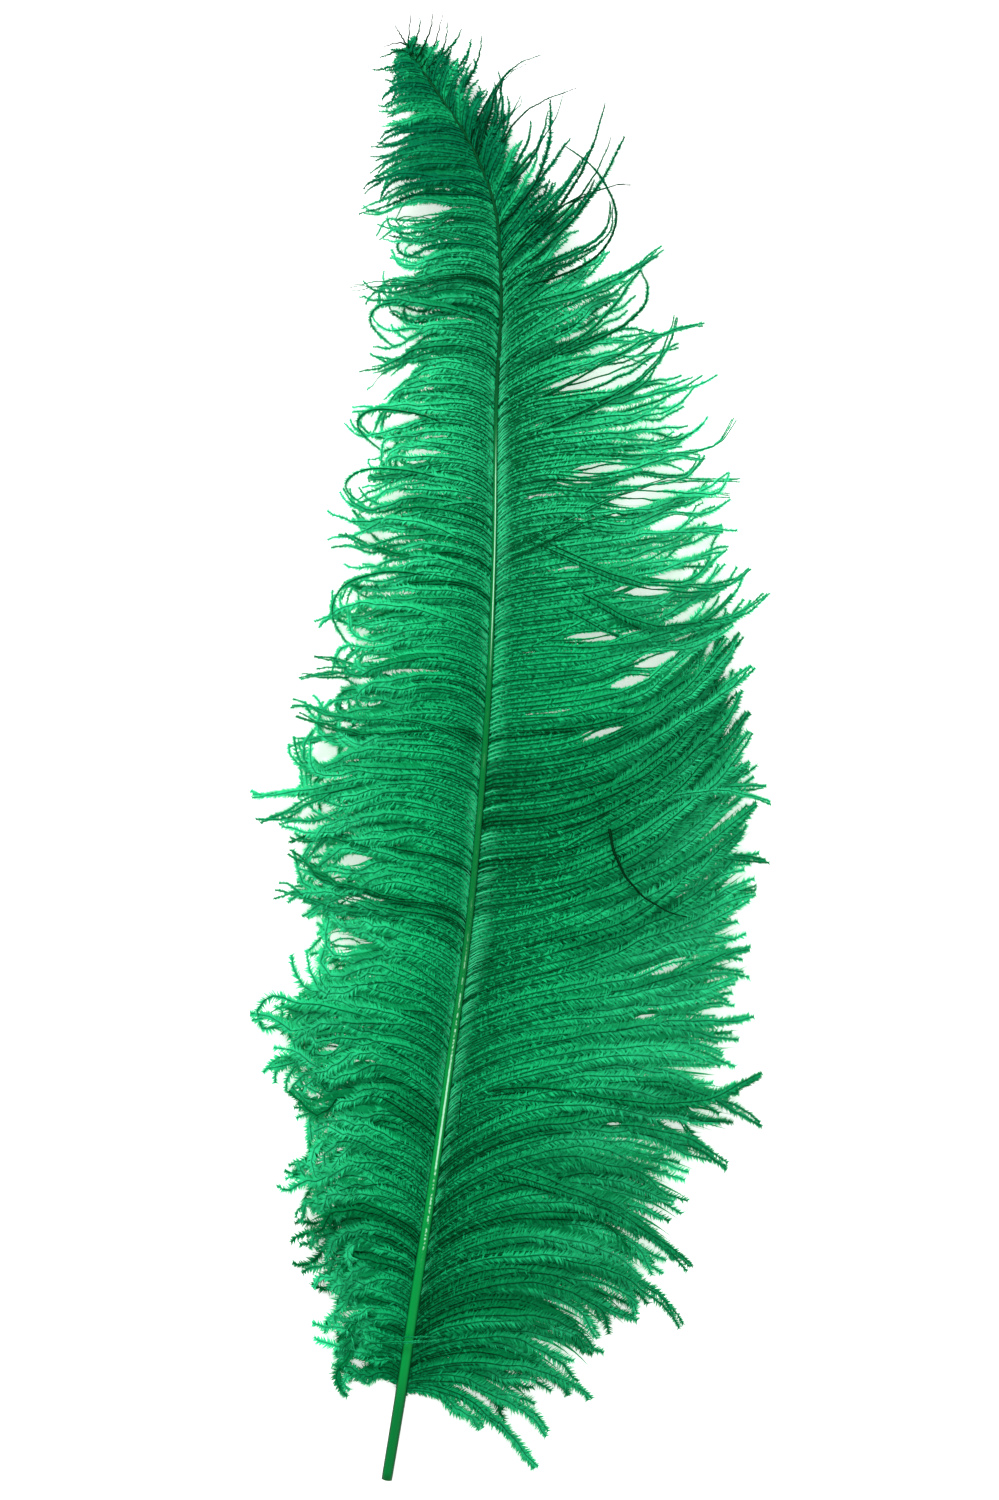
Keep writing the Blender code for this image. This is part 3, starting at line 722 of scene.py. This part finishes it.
def make_vane(side, barbs, strays, character, rng):
    """Paths and character of all the barbs of one vane.

    The barbs hang in locks, curl, wave and move aside in the partings, and the strays keep
    across them. Each mat follows its barb's own path, MAT_DEPTH below. Both are then moved down
    the quill by ROOT_SWEEP times a decay of ROOT_SWEEP_FADE, and kept above LOWEST.
    """
    plan = lay_out(barbs, strays, character, rng)
    roots, stray, nature = plan["roots"], plan["stray"], plan["nature"]
    free, paths = hang_in_locks(side, plan, character, rng)
    paths = wave_barbs(curl_locks(side, paths, plan, rng), plan, rng)
    share = rng.uniform(*PARTING_SHARES, len(roots))
    share[stray] = 0.0
    paths = part_barbs(paths, share)
    mat = np.dstack((free[:, :, :2], paths[:, :, 2] - MAT_DEPTH))
    mat = part_barbs(mat, np.ones(len(roots)))

    walked = distance_along(paths)
    back = -ROOT_SWEEP * np.exp(-walked / ROOT_SWEEP_FADE)
    heading = unit(quill_at(roots + MM)[0] - quill_at(roots - MM)[0])
    for points in (paths, mat):
        points += back[:, :, None] * heading[:, None]
        points[:, :, 2] = np.maximum(points[:, :, 2], LOWEST)
    return {
        "roots": roots,
        "paths": paths,
        "length": walked[:, -1],
        "fluff": nature["fluff"] * MM * plan["barbule_share"],
        "tip_fluff": nature["tip_fluff"],
        "tone": tones_of(plan, rng),
        "girth": nature["girth"],
        "mat": mat,
        "mat_reach": np.where(stray, 0.0, nature["mat_reach"]),
    }


def make_loose(rng):
    """Path and character of the barbs of LOOSE_BARBS, with a little frizz."""
    corners = np.array([row[:4] for row in LOOSE_BARBS]).transpose(1, 0, 2)[:, :, None] * MM
    share, tone, girth = np.array([row[4:] for row in LOOSE_BARBS]).T
    u = np.linspace(0.0, 1.0, BARB_STATIONS)
    paths = bezier(corners, u[None, :, None])
    count = len(paths)
    frizz = waves(LOOSE_FRIZZ, u, count, rng) * MM
    paths = paths + frizz[:, :, None] * frames_along(paths)[1]
    return {
        "roots": paths[:, 0, 1],
        "paths": paths,
        "length": distance_along(paths)[:, -1],
        "fluff": share * LOOSE_FLUFF,
        "tip_fluff": np.full(count, LOOSE_TIP_FLUFF),
        "tone": tone,
        "girth": girth,
        "mat": paths,
        "mat_reach": np.zeros(count),
    }


def ring_quads(index):
    """Quads between neighbouring rings, from the numbers of their points: (..., rings, corners)."""
    near, far = index[..., :-1, :], index[..., 1:, :]
    return np.stack((near, far, np.roll(far, -1, -1), np.roll(near, -1, -1)), axis=-1)


def ring_uvs(along, across):
    """UVs of such quads: u along at each ring, and v across at each seam between corners."""
    u = np.stack((along[:-1], along[1:], along[1:], along[:-1]), axis=-1)[:, None]
    low, high = across[..., :-1], across[..., 1:]
    return np.stack(np.broadcast_arrays(u, np.stack((low, low, high, high), axis=-1)), axis=-1)


def ramus_tubes(paths, radii):
    """Tubes of TUBE_SIDES round the paths, closed at both ends.

    Corner c of a station is the path's point plus its radius times (cos a sideways + sin a up),
    and a starts at 90 degrees. Returns the points, the side quads and the end triangles.
    """
    ahead, sideways, up = frames_along(paths)
    around = np.radians(90 + 360 / TUBE_SIDES * np.arange(TUBE_SIDES))[:, None]
    spokes = np.cos(around) * sideways[:, :, None] + np.sin(around) * up[:, :, None]
    points = paths[:, :, None] + radii[:, :, None, None] * spokes
    index = np.arange(points.size // 3).reshape(points.shape[:3])
    ends = np.concatenate((index[:, 0], index[:, -1, ::-1]))
    return points.reshape(-1, 3), ring_quads(index), ends


def read_along(values, barb, u):
    """Values of shape (barbs, stations, 3), read between stations at the share u of a barb."""
    place = np.clip(u, 0.0, 1.0) * (values.shape[1] - 1)
    low = np.minimum(place.astype(int), values.shape[1] - 2)
    part = (place - low)[:, None]
    return values[barb, low] * (1 - part) + values[barb, low + 1] * part


def barbule_lengths(vane, barb, u, places):
    """The mean length of the barbules at the shares u of their barbs, and at their places.

    It is the barb's full length, times QUILL_FLUFF beside the quill, the barb's own share at
    its tip, END_FLUFF at its very end, and one less PARTING_THINNING in the partings.
    """
    length = vane["fluff"][barb] * blend(QUILL_FLUFF, 1.0, ramp(*QUILL_FLUFF_SPAN, u))
    length *= blend(1.0, vane["tip_fluff"][barb], ramp(*TIP_FLUFF_SPAN, u))
    length *= blend(1.0, END_FLUFF, ramp(*END_FLUFF_SPAN, u))
    return length * (1 - PARTING_THINNING * depth_in_partings(places))


def clumped_chance(clump, bases, rng):
    """An even chance for each barbule, OWN_SHARE of it its own and the rest its clump's."""
    return OWN_SHARE * rng.random(len(clump)) + (1 - OWN_SHARE) * rng.random(bases)[clump]


def barbule_combs(vane, rng):
    """A comb of barbules down each side of every barb.

    The combs' base points are evenly spaced on the barb. Each barbule is one slim triangle
    whose base spans two steps, and three where the vane is thick. Its tip lies at a base point
    plus its length times (cos lean ahead + sin lean (sideways cos lift + up sin lift)), on the
    other side with sideways turned round. CLUMP neighbours share most of their lean and length,
    and the outer ones start CLUMP_PULL of the way to the middle of their clump.
    """
    paths, length = vane["paths"], vane["length"]
    counts = np.maximum(FEWEST_BARBULES, ((length - ROOT_SWEEP) / BARBULE_STEP).astype(int))
    barb = np.repeat(np.arange(len(counts)), counts + 2)
    first = np.cumsum(counts + 2) - (counts + 2)
    place = np.arange(len(barb)) - first[barb]
    begin = np.clip(BARBULE_START / length, 0.0, LATEST_START)[barb]
    u = begin + (1 - begin) * place / (counts[barb] + 1)
    base = read_along(paths, barb, u)

    centre = np.flatnonzero((place > 0) & (place <= counts[barb]))
    barb_c, u_c = barb[centre], u[centre]
    middle = np.minimum((place[centre] - 1) // CLUMP * CLUMP + 2, counts[barb_c])
    clump = first[barb_c] + middle
    pull = (CLUMP_PULL * ramp(*CLUMP_SPAN, u_c))[:, None]
    foot = base[centre] * (1 - pull) + base[clump] * pull
    ahead, sideways, up = [unit(read_along(v, barb_c, u_c)) for v in frames_along(paths)]
    cycles, phase = rng.uniform(*BARBULE_ROLLS, len(counts)), rng.random(len(counts))
    roll = BARBULE_ROLL * np.sin(2 * math.pi * (cycles[barb_c] * u_c + phase[barb_c])) * u_c
    droop = blend(*BARBULE_DROOP, ramp(*DROOP_SPAN, u_c))
    mean = barbule_lengths(vane, barb_c, u_c, base[centre])
    variety = blend(*VARIETY, ramp(*VARIETY_SPAN, u_c))
    tips = []
    for hand in (1.0, -1.0):
        lean = np.radians(blend(*BARBULE_LEAN, clumped_chance(clump, len(barb), rng)))[:, None]
        scatter = rng.normal(0.0, BARBULE_SCATTER, len(barb))[clump]
        lift = np.radians(droop + hand * roll + scatter)[:, None]
        chance = clumped_chance(clump, len(barb), rng)
        reach = (mean * (MIDDLING_REACH + variety * (chance - 0.5)))[:, None]
        out = hand * sideways * np.cos(lift) + up * np.sin(lift)
        tip = foot + reach * (np.cos(lean) * ahead + np.sin(lean) * out)
        tip[:, 2] = np.maximum(tip[:, 2], LOWEST / 2)
        tips.append(tip)
    right = np.arange(len(centre)) + len(base)
    end = centre + 1 + ((u_c < THICK_SHARE) & (place[centre] < counts[barb_c]))
    faces = np.concatenate((np.column_stack((centre - 1, right, end)),
                            np.column_stack((centre - 1, end, right + len(centre)))))
    return np.concatenate([base] + tips), faces, barb, u, barb_c, u_c


# The mat's strips stand partly for lower barbules and partly for painted shade deep in the vane.
def shade_mat_strips(vane, rng):
    """A ragged strip under every barb whose mat reaches past LEAST_MAT.

    Its half width is MAT_HALF_WIDTH, faded out over MAT_FADE of its length and in the partings,
    times an even chance within MAT_RAGGEDNESS at every corner.
    """
    chosen = np.flatnonzero(vane["mat_reach"] > LEAST_MAT)
    count = len(chosen)
    along = np.linspace(MAT_START, 1.0, MAT_STATIONS)
    u = vane["mat_reach"][chosen, None] * along
    barb = np.repeat(chosen, MAT_STATIONS)
    middle = read_along(vane["mat"], barb, u.ravel())
    sideways = unit(read_along(frames_along(vane["mat"])[1], barb, u.ravel()))
    half = MAT_HALF_WIDTH * (1 - ramp(*MAT_FADE, along))
    half = np.tile(half, count) * (1 - depth_in_partings(middle))
    half = half[:, None] * rng.uniform(*MAT_RAGGEDNESS, (len(barb), 2))
    hands = np.array((1.0, -1.0))[None, :, None]
    points = middle[:, None] + hands * half[:, :, None] * sideways[:, None]
    index = np.arange(len(barb) * 2).reshape(count, MAT_STATIONS, 2)
    near, far = index[:, :-1], index[:, 1:]
    quads = np.stack((near[:, :, 1], near[:, :, 0], far[:, :, 0], far[:, :, 1]), axis=-1)
    return points.reshape(-1, 3), quads, chosen, u


def new_mesh(name, points, groups, corner_uv):
    """A mesh from arrays: points, groups of faces with equal numbers of corners, and UVs."""
    mesh = bpy.data.meshes.new(name)
    corners = np.concatenate([group.ravel() for group in groups])
    sizes = np.concatenate([np.full(len(group), group.shape[1]) for group in groups])
    mesh.vertices.add(len(points))
    mesh.vertices.foreach_set("co", np.ascontiguousarray(points, dtype=np.float32).ravel())
    mesh.loops.add(len(corners))
    mesh.loops.foreach_set("vertex_index", corners.astype(np.int32))
    mesh.polygons.add(len(sizes))
    mesh.polygons.foreach_set("loop_start", (np.cumsum(sizes) - sizes).astype(np.int32))
    mesh.update(calc_edges=True)
    layer = mesh.uv_layers.new(name="OFBake")
    corner_uv = np.clip(corner_uv, 0.0, 1.0)
    layer.data.foreach_set("uv", np.ascontiguousarray(corner_uv, dtype=np.float32).ravel())
    return mesh


def add_attribute(mesh, name, values):
    """One number for each point of the mesh, under a name that the finish reads."""
    attribute = mesh.attributes.new(name, "FLOAT", "POINT")
    attribute.data.foreach_set("value", np.ascontiguousarray(values, dtype=np.float32))


def add_piece(name, mesh, finish):
    """A finished object that rides with the plume."""
    piece = bpy.data.objects.new(name, mesh)
    bpy.context.scene.collection.objects.link(piece)
    mesh.materials.append(finish)
    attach(piece, BODY)
    return piece


def barb_uvs(count, u_ring, barb_c, u_c, mat_barb, u_mat):
    """UVs of a number of barbs: each has a row of its own, and u runs along it.

    The shaft and the mat take the middle of the row, and a comb lies on each side of them.
    """
    row = (np.arange(count) + 0.5) / count
    width = 1 / (ROW_PARTS * count)
    band = width * (np.arange(TUBE_SIDES + 2) / (TUBE_SIDES + 1) - 0.5)
    end, half = SHAFT_END_UV
    end_u = np.repeat(((0.0, 0.0, end), (1 - end, 1.0, 1.0)), count, axis=0)
    end_v = np.tile(row, 2)[:, None] + np.array((-half, half, half)) * width
    step_u = 0.5 / np.bincount(barb_c, minlength=count)[barb_c]
    comb_u = np.stack((u_c - step_u, u_c, u_c + step_u), axis=-1)
    base_v, tip_v = COMB_BASE * width, (COMB_BASE + 1) * width
    right_v = row[barb_c, None] + np.array((base_v, tip_v, base_v))
    left_v = row[barb_c, None] - np.array((base_v, base_v, tip_v))
    mat_u = np.stack((u_mat[:, :-1], u_mat[:, :-1], u_mat[:, 1:], u_mat[:, 1:]), axis=-1)
    mat_v = np.broadcast_to(row[mat_barb, None, None] + band[[-2, -1, -1, -2]], mat_u.shape)
    pairs = ((end_u, end_v), (comb_u, right_v), (comb_u[:, (0, 2, 1)], left_v), (mat_u, mat_v))
    uvs = [ring_uvs(u_ring, row[:, None, None] + band[:-1])]
    uvs += [np.stack(pair, axis=-1) for pair in pairs]
    return np.concatenate([uv.reshape(-1, 2) for uv in uvs])


def make_barbs(name, vane, chosen, finish, rng):
    """One stretch of a vane: the barbs' shafts, combs of barbules and mats in one mesh."""
    part = {key: values[chosen] for key, values in vane.items()}
    paths, count = part["paths"], len(part["paths"])
    u_ring = np.linspace(0.0, 1.0, BARB_STATIONS)
    slim = (np.clip(part["length"] / FULL_ARCH_LENGTH, SLIMMEST, 1.0) * part["girth"])[:, None]
    radii = blend(RAMUS_TIP_RADIUS, RAMUS_RADIUS, (1 - u_ring) ** RAMUS_TAPER) * slim
    tube, quads, ends = ramus_tubes(paths, radii)
    comb, faces, barb, u_base, barb_c, u_c = barbule_combs(part, rng)
    mat, mat_quads, mat_barb, u_mat = shade_mat_strips(part, rng)
    groups = (quads.reshape(-1, 4), ends, faces + len(tube),
              mat_quads.reshape(-1, 4) + len(tube) + len(comb))
    mesh = new_mesh(name, np.concatenate((tube, comb, mat)), groups,
                    barb_uvs(count, u_ring, barb_c, u_c, mat_barb, u_mat))

    whose = (np.repeat(np.arange(count), BARB_STATIONS * TUBE_SIDES), barb, barb_c, barb_c,
             np.repeat(mat_barb, 2 * MAT_STATIONS))
    along = (np.repeat(np.tile(u_ring, count), TUBE_SIDES), u_base, u_c, u_c,
             np.repeat(u_mat.ravel(), 2))
    sizes = (len(tube), len(barb), 2 * len(barb_c), len(mat))
    add_attribute(mesh, "along", np.concatenate(along))
    add_attribute(mesh, "tone", part["tone"][np.concatenate(whose)])
    add_attribute(mesh, "fluff", np.repeat(FLUFF_OF_PARTS, sizes))
    add_attribute(mesh, "mat_shade", np.repeat(MAT_SHADE_PARTS, sizes))
    add_piece(name, mesh, finish)


def make_quill(finish):
    """The quill: a flattened tube with a shallow groove along its top and a cut lower end.

    Its section has the quill's radius, times one less GROOVE_DEPTH times a bell of
    GROOVE_WIDTH round the top, and QUILL_FLATNESS as its height. The rings of CUT_END close
    the lower end with a rim round a hollow.
    """
    centres, radii = quill_at(np.linspace(BARE_QUILL_END, QUILL_TOP, QUILL_RINGS))
    ahead = unit(np.gradient(centres, axis=0))
    offsets, shares = np.array(CUT_END).T
    caps = centres[0] - ahead[0] * offsets[:, None]
    centres = np.concatenate((caps[::-1], centres))
    ahead = np.concatenate((np.repeat(ahead[:1], len(offsets), axis=0), ahead))
    radii = np.concatenate((radii[0] * shares[::-1], radii))
    sideways = unit(np.cross(ahead, (0.0, 0.0, 1.0)))
    up = np.cross(sideways, ahead)
    around = np.linspace(0.0, 2 * math.pi, QUILL_SIDES, endpoint=False)
    groove = 1 - GROOVE_DEPTH * np.exp(-((around - math.pi / 2) / GROOVE_WIDTH) ** 2)
    spokes = (np.cos(around)[:, None] * sideways[:, None]
              + QUILL_FLATNESS * np.sin(around)[:, None] * up[:, None]) * groove[:, None]
    points = centres[:, None] + radii[:, None, None] * spokes
    count = len(centres)
    index = np.arange(count * QUILL_SIDES).reshape(count, QUILL_SIDES)
    seams = np.arange(QUILL_SIDES + 1) / (QUILL_SIDES + 1)
    disc = np.column_stack((np.cos(around), np.sin(around))) * END_UV_RADIUS
    margin = END_UV_RADIUS * 1.25
    uv = np.concatenate((ring_uvs(np.linspace(0.0, 1.0, count), seams).reshape(-1, 2),
                         disc + (margin, 1 - margin), disc[::-1] + (1 - margin, 1 - margin)))
    groups = (ring_quads(index).reshape(-1, 4), index[:1], index[-1:, ::-1])
    mesh = new_mesh("quill", points.reshape(-1, 3), groups, uv)
    mesh.shade_smooth()
    add_attribute(mesh, "across", np.tile(np.cos(around), count))
    add_attribute(mesh, "top", np.tile(np.sin(around), count))
    add_attribute(mesh, "cut", np.repeat(np.arange(count) < len(offsets) - 1, QUILL_SIDES))
    quill = add_piece("quill", mesh, finish)
    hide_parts(SOLID)


class Value:
    """A shader socket that Python's operators work on, each by adding a Math node."""

    def __init__(self, finish, socket):
        self.finish = finish
        self.socket = socket

    def maths(self, operation, first, second=0.0):
        return self.finish.add("ShaderNodeMath", {"operation": operation}, {0: first, 1: second})

    def __add__(self, other):
        return self.maths("ADD", self, other)

    def __radd__(self, other):
        return self.maths("ADD", other, self)

    def __sub__(self, other):
        return self.maths("SUBTRACT", self, other)

    def __rsub__(self, other):
        return self.maths("SUBTRACT", other, self)

    def __mul__(self, other):
        return self.maths("MULTIPLY", self, other)

    def __rmul__(self, other):
        return self.maths("MULTIPLY", other, self)

    def __abs__(self):
        return self.maths("ABSOLUTE", self)

    def between(self, low, high):
        """Nought at low, one at high, and smooth between them."""
        settings = {"interpolation_type": "SMOOTHSTEP"}
        sockets = {"Value": self, "From Min": low, "From Max": high}
        return self.finish.add("ShaderNodeMapRange", settings, sockets)


class Finish:
    """A material and the one method that adds nodes to it."""

    def __init__(self, name):
        self.material = bpy.data.materials.new(name)
        self.material.use_nodes = True
        self.tree = self.material.node_tree
        self.tree.nodes.clear()

    def add(self, kind, settings, sockets, output=0):
        """A node of the kind, with its settings, then its sockets' values or links."""
        node = self.tree.nodes.new(kind)
        for name, value in settings.items():
            setattr(node, name, value)
        for name, value in sockets.items():
            if isinstance(value, Value):
                self.tree.links.new(value.socket, node.inputs[name])
            else:
                node.inputs[name].default_value = value
        return Value(self, node.outputs[output])

    def attribute(self, name):
        return self.add("ShaderNodeAttribute", {"attribute_name": name}, {}, "Fac")

    def mix(self, factor, first, second):
        """The first colour where the factor is nought and the second where it is one."""
        settings = {"data_type": "RGBA"}
        return self.add("ShaderNodeMix", settings, {0: factor, 6: first, 7: second}, 2)

    def noise(self, vector, scale, detail=2.0):
        sockets = {"Vector": vector, "Scale": scale, "Detail": detail}
        return self.add("ShaderNodeTexNoise", {}, sockets, "Fac")

    def place(self):
        """The object's own coordinates."""
        return self.add("ShaderNodeTexCoord", {}, {}, "Object")

    def axis(self, vector, name):
        return self.add("ShaderNodeSeparateXYZ", {}, {"Vector": vector}, name)

    def output(self, surface):
        """The material, with the surface as what it shows."""
        end = self.tree.nodes.new("ShaderNodeOutputMaterial")
        self.tree.links.new(surface.socket, end.inputs["Surface"])
        return self.material


def opaque(red, green, blue):
    """A colour that isn't see-through."""
    return (red, green, blue, 1.0)


RAMUS_DARK = opaque(0.0, 0.025, 0.006)
RAMUS_GREEN = opaque(0.0, 0.11, 0.028)
# Painted highlight on the barbs' shafts beside the quill.
RAMUS_HIGHLIGHT = opaque(0.05, 0.56, 0.26)
FLUFF_DARK = opaque(0.0, 0.22, 0.06)
FLUFF_GREEN = opaque(0.008, 0.54, 0.185)
FLUFF_PALE = opaque(0.05, 0.82, 0.38)
FLUFF_TEAL = opaque(0.0, 0.19, 0.085)
# Painted shade for the valleys between the barbs beside the quill.
FLUFF_SHADE = opaque(0.0, 0.07, 0.018)
# Painted shade: the mat's darker colour stands for the shade deep in the vane.
MAT_SHADE_GREEN = opaque(0.0, 0.24, 0.065)


def barb_finish():
    """Dyed barbs: dark matt shafts and lighter, slightly see-through barbules.

    The tone of each lock and barb, a slow mottle of the dye and the distance along the barb
    colour both. The dye lies deeper towards the plume's tip. Beside the quill the shafts carry a
    painted highlight and the barbules' tips painted shade for the valleys between the barbs, and
    the mat under the barbs is darkened as painted shade.
    """
    finish = Finish("dyed_barbs")
    along = finish.attribute("along")
    tone = finish.attribute("tone")
    fluff = finish.attribute("fluff")
    place = finish.place()
    y = finish.axis(place, "Y")
    mottle = finish.noise(place, 60.0)
    grain = finish.noise(place, 900.0, 1.0)
    light = (tone * 0.8 + mottle * 0.25 + grain * 0.25).between(0.20, 0.95)
    deep = y.between(0.12, 0.25)
    near_quill_highlight = 1 - along.between(0.02, 0.09)
    high = y.between(0.03, 0.10) * (1 - y.between(0.20, 0.24))
    shaft = finish.mix(light, RAMUS_DARK, RAMUS_GREEN)
    # Painted highlight: the shafts of the lighter barbs are lightened beside the quill.
    shaft = finish.mix(near_quill_highlight * (1 - deep * 0.6) * tone.between(0.35, 0.8), shaft, RAMUS_HIGHLIGHT)
    down = finish.mix(light, FLUFF_DARK, FLUFF_GREEN)
    airy = along.between(0.3, 1.0) * 0.6 + high * 0.3
    down = finish.mix(light * airy, down, FLUFF_PALE)
    down = finish.mix(deep * (0.85 - light * 0.6), down, FLUFF_TEAL)
    # Painted shade: the barbules' tips beside the quill are darkened for the valleys between the
    # barbs.
    valley_shade = fluff.between(0.4, 1.0) * (1 - along.between(0.08, 0.35 + deep * 0.5))
    down = finish.mix(valley_shade * 0.85, down, FLUFF_SHADE)
    # Painted shade: the mat under the barbs is darkened for the shade deep in the vane.
    down = finish.mix(finish.attribute("mat_shade") * 0.75, down, MAT_SHADE_GREEN)
    colour = finish.mix(fluff.between(0.15, 0.6), shaft, down)
    body = finish.add("ShaderNodeBsdfPrincipled", {}, {
        "Base Color": colour,
        "Roughness": 0.7,
        "Specular IOR Level": 0.03,
    })
    through = finish.add("ShaderNodeBsdfTranslucent", {}, {"Color": colour})
    surface = finish.add("ShaderNodeMixShader", {}, {0: fluff * 0.40, 1: body, 2: through})
    return finish.output(surface)


QUILL_GREEN = opaque(0.0, 0.26, 0.045)
QUILL_DARK = opaque(0.0, 0.05, 0.014)
QUILL_DEEP = opaque(0.0, 0.05, 0.012)
# Painted highlight along the quill's top, partly its own pale stripe.
QUILL_HIGHLIGHT = opaque(0.38, 0.74, 0.50)
PITH = opaque(0.30, 0.42, 0.24)


def quill_finish():
    """The quill: glossy, with painted shade on its edges and a painted highlight along its top.

    The highlight is narrow along the middle, where it is partly the quill's own pale stripe,
    widest where the quill is thickest, and breaks into flecks below that, with faint streaks of
    painted sheen. The bare end is darker, and the cut shows pale pith.
    """
    finish = Finish("dyed_quill")
    across = finish.attribute("across")
    top = finish.attribute("top")
    cut = finish.attribute("cut")
    place = finish.place()
    y = finish.axis(place, "Y")
    flecks = finish.noise(place, 700.0, 3.0)
    streaks = finish.noise(place, 160.0, 2.0)
    # Painted shade: the quill is darkened towards its sides, where its round flanks turn from the
    # light.
    edge = abs(across).between(0.55, 1.0)
    colour = finish.mix(y.between(-0.17, -0.06) * 0.55, QUILL_GREEN, QUILL_DARK)
    colour = finish.mix(edge, colour, QUILL_DARK)
    colour = finish.mix(y.between(0.10, 0.16), colour, QUILL_DEEP)
    colour = finish.mix((1 - y.between(-0.275, -0.250)) * 0.45, colour, QUILL_DARK)
    # Painted highlight along the top: a middle line, partly the quill's own pale stripe.
    upper = 1 - abs(across + 0.02).between(0.10, 0.42)
    narrow = 1 - abs(across - 0.10).between(0.06, 0.28)
    middle = narrow * y.between(0.02, 0.06) * (1 - y.between(0.10, 0.14)) * 0.85
    # Painted highlight lower down, widest where the quill is thickest, breaking into flecks.
    highlight_line = 1 - abs(across - 0.14).between(0.04, 0.28)
    lower = highlight_line * y.between(-0.178, -0.165) * (1 - y.between(-0.136, -0.118))
    broken_highlight = highlight_line * flecks.between(0.47, 0.58) * y.between(-0.215, -0.20)
    broken_highlight = broken_highlight * (1 - y.between(-0.13, -0.05) * 0.9)
    broken_highlight = broken_highlight * (1 - y.between(-0.04, 0.0))
    # Painted sheen in faint streaks along the top.
    faint_sheen = upper * streaks.between(0.45, 0.70) * y.between(-0.16, -0.10) * 0.15
    faint_sheen = faint_sheen * (1 - y.between(0.12, 0.16))
    # Painted highlight, on the upper side of the quill only.
    pale = (middle + lower + broken_highlight * 0.8 + faint_sheen) * top.between(0.0, 0.4)
    colour = finish.mix(pale.between(0.0, 1.0), colour, QUILL_HIGHLIGHT)
    colour = finish.mix(cut, colour, PITH)
    grain = finish.noise(place, 1500.0, 2.0)
    relief = finish.add("ShaderNodeBump", {}, {
        "Strength": 0.25,
        "Distance": 0.0002,
        "Height": grain + streaks,
    })
    surface = finish.add("ShaderNodeBsdfPrincipled", {}, {
        "Base Color": colour,
        "Roughness": 0.40,
        "Specular IOR Level": 0.05,
        "Coat Weight": 0.06 * (1 - y.between(-0.10, 0.10)),
        "Coat Roughness": 0.18,
        "Normal": relief,
    })
    return finish.output(surface)


# The stage.
FLOOR_SIZE = 8.0
FLOOR_COLOUR = opaque(0.93, 0.93, 0.92)
FLOOR_GLOW = 0.6            # the floor is a dim light table, which keeps the gaps white
LENS = 85.0
SENSOR = 36.0
FRAME_CENTRE = (-0.0039, -0.0012)
FRAME_HEIGHT = 0.612        # of the photograph, at the plume
PLUME_MIDDLE = 0.008


def make_floor():
    """A plain pale floor."""
    finish = Finish("pale_floor")
    surface = finish.add("ShaderNodeBsdfPrincipled", {}, {
        "Base Color": FLOOR_COLOUR,
        "Roughness": 0.9,
        "Specular IOR Level": 0.0,
        "Emission Color": FLOOR_COLOUR,
        "Emission Strength": FLOOR_GLOW,
    })
    half = FLOOR_SIZE / 2
    corners = np.array(((-half, -half, 0), (half, -half, 0), (half, half, 0), (-half, half, 0)))
    square = np.array(((0, 0), (1, 0), (1, 1), (0, 1)))
    mesh = new_mesh("floor", corners, (np.arange(4)[None],), square)
    mesh.materials.append(finish.output(surface))
    floor = bpy.data.objects.new("floor", mesh)
    bpy.context.scene.collection.objects.link(floor)


def make_light(name, place, size, power):
    """A square soft light that points at the middle of the plume."""
    data = bpy.data.lights.new(name, "AREA")
    data.shape = "SQUARE"
    data.size = size
    data.energy = power
    lamp = bpy.data.objects.new(name, data)
    lamp.location = place
    x, y, z = place
    lamp.rotation_euler = (math.atan2(math.hypot(x, y), z), 0.0, math.atan2(x, -y))
    bpy.context.scene.collection.objects.link(lamp)


def make_stage():
    """Floor, soft studio light, and a camera that looks straight down on the plume."""
    scene = bpy.context.scene
    make_floor()
    make_light("key_light", (-0.6, 1.2, 1.0), 0.6, 30.0)
    make_light("fill_light", (0.9, -0.5, 1.6), 1.4, 5.0)
    world = bpy.data.worlds.new("studio")
    world.use_nodes = True
    sky = world.node_tree.nodes["Background"]
    sky.inputs["Color"].default_value = (1.0, 1.0, 1.0, 1.0)
    sky.inputs["Strength"].default_value = 0.7
    scene.world = world
    scene.view_settings.view_transform = "Standard"
    data = bpy.data.cameras.new("camera")
    data.lens = LENS
    data.sensor_width = SENSOR
    camera = bpy.data.objects.new("camera", data)
    camera.location = (*FRAME_CENTRE, PLUME_MIDDLE + FRAME_HEIGHT * LENS / SENSOR)
    scene.collection.objects.link(camera)
    scene.camera = camera


def stretches(roots, edges):
    """Which barbs leave the quill between each two edges."""
    return [(roots >= low) & (roots < high) for low, high in zip(edges, edges[1:])]


def make_plume():
    """The whole plume: the quill, the two vanes in stretches, and the loose barbs."""
    barb_material = barb_finish()
    make_quill(quill_finish())
    # Each stretch of a vane, with the y where its lowest barb leaves the quill.
    right = (("bottom", -1.0), ("lower", -0.150), ("middle", -0.045), ("upper", 0.09))
    left = (("lower", -1.0), ("middle", -0.10), ("upper", 0.07))
    sides = (("right", 1, RIGHT_BARBS, RIGHT_STRAYS, RIGHT_CHARACTER, right),
             ("left", -1, LEFT_BARBS, LEFT_STRAYS, LEFT_CHARACTER, left))
    for number, (word, side, barbs, strays, character, parts) in enumerate(sides):
        rng = np.random.default_rng(SEED + number)
        vane = make_vane(side, barbs, strays, character, rng)
        edges = [low for name, low in parts] + [1.0]
        for (name, low), chosen in zip(parts, stretches(vane["roots"], edges)):
            make_barbs(f"{word}_barbs_{name}", vane, chosen, barb_material, rng)
    rng = np.random.default_rng(SEED + len(sides))
    loose = make_loose(rng)
    make_barbs("loose_barbs", loose, np.full(len(loose["roots"]), True), barb_material, rng)


make_stage()
make_plume()
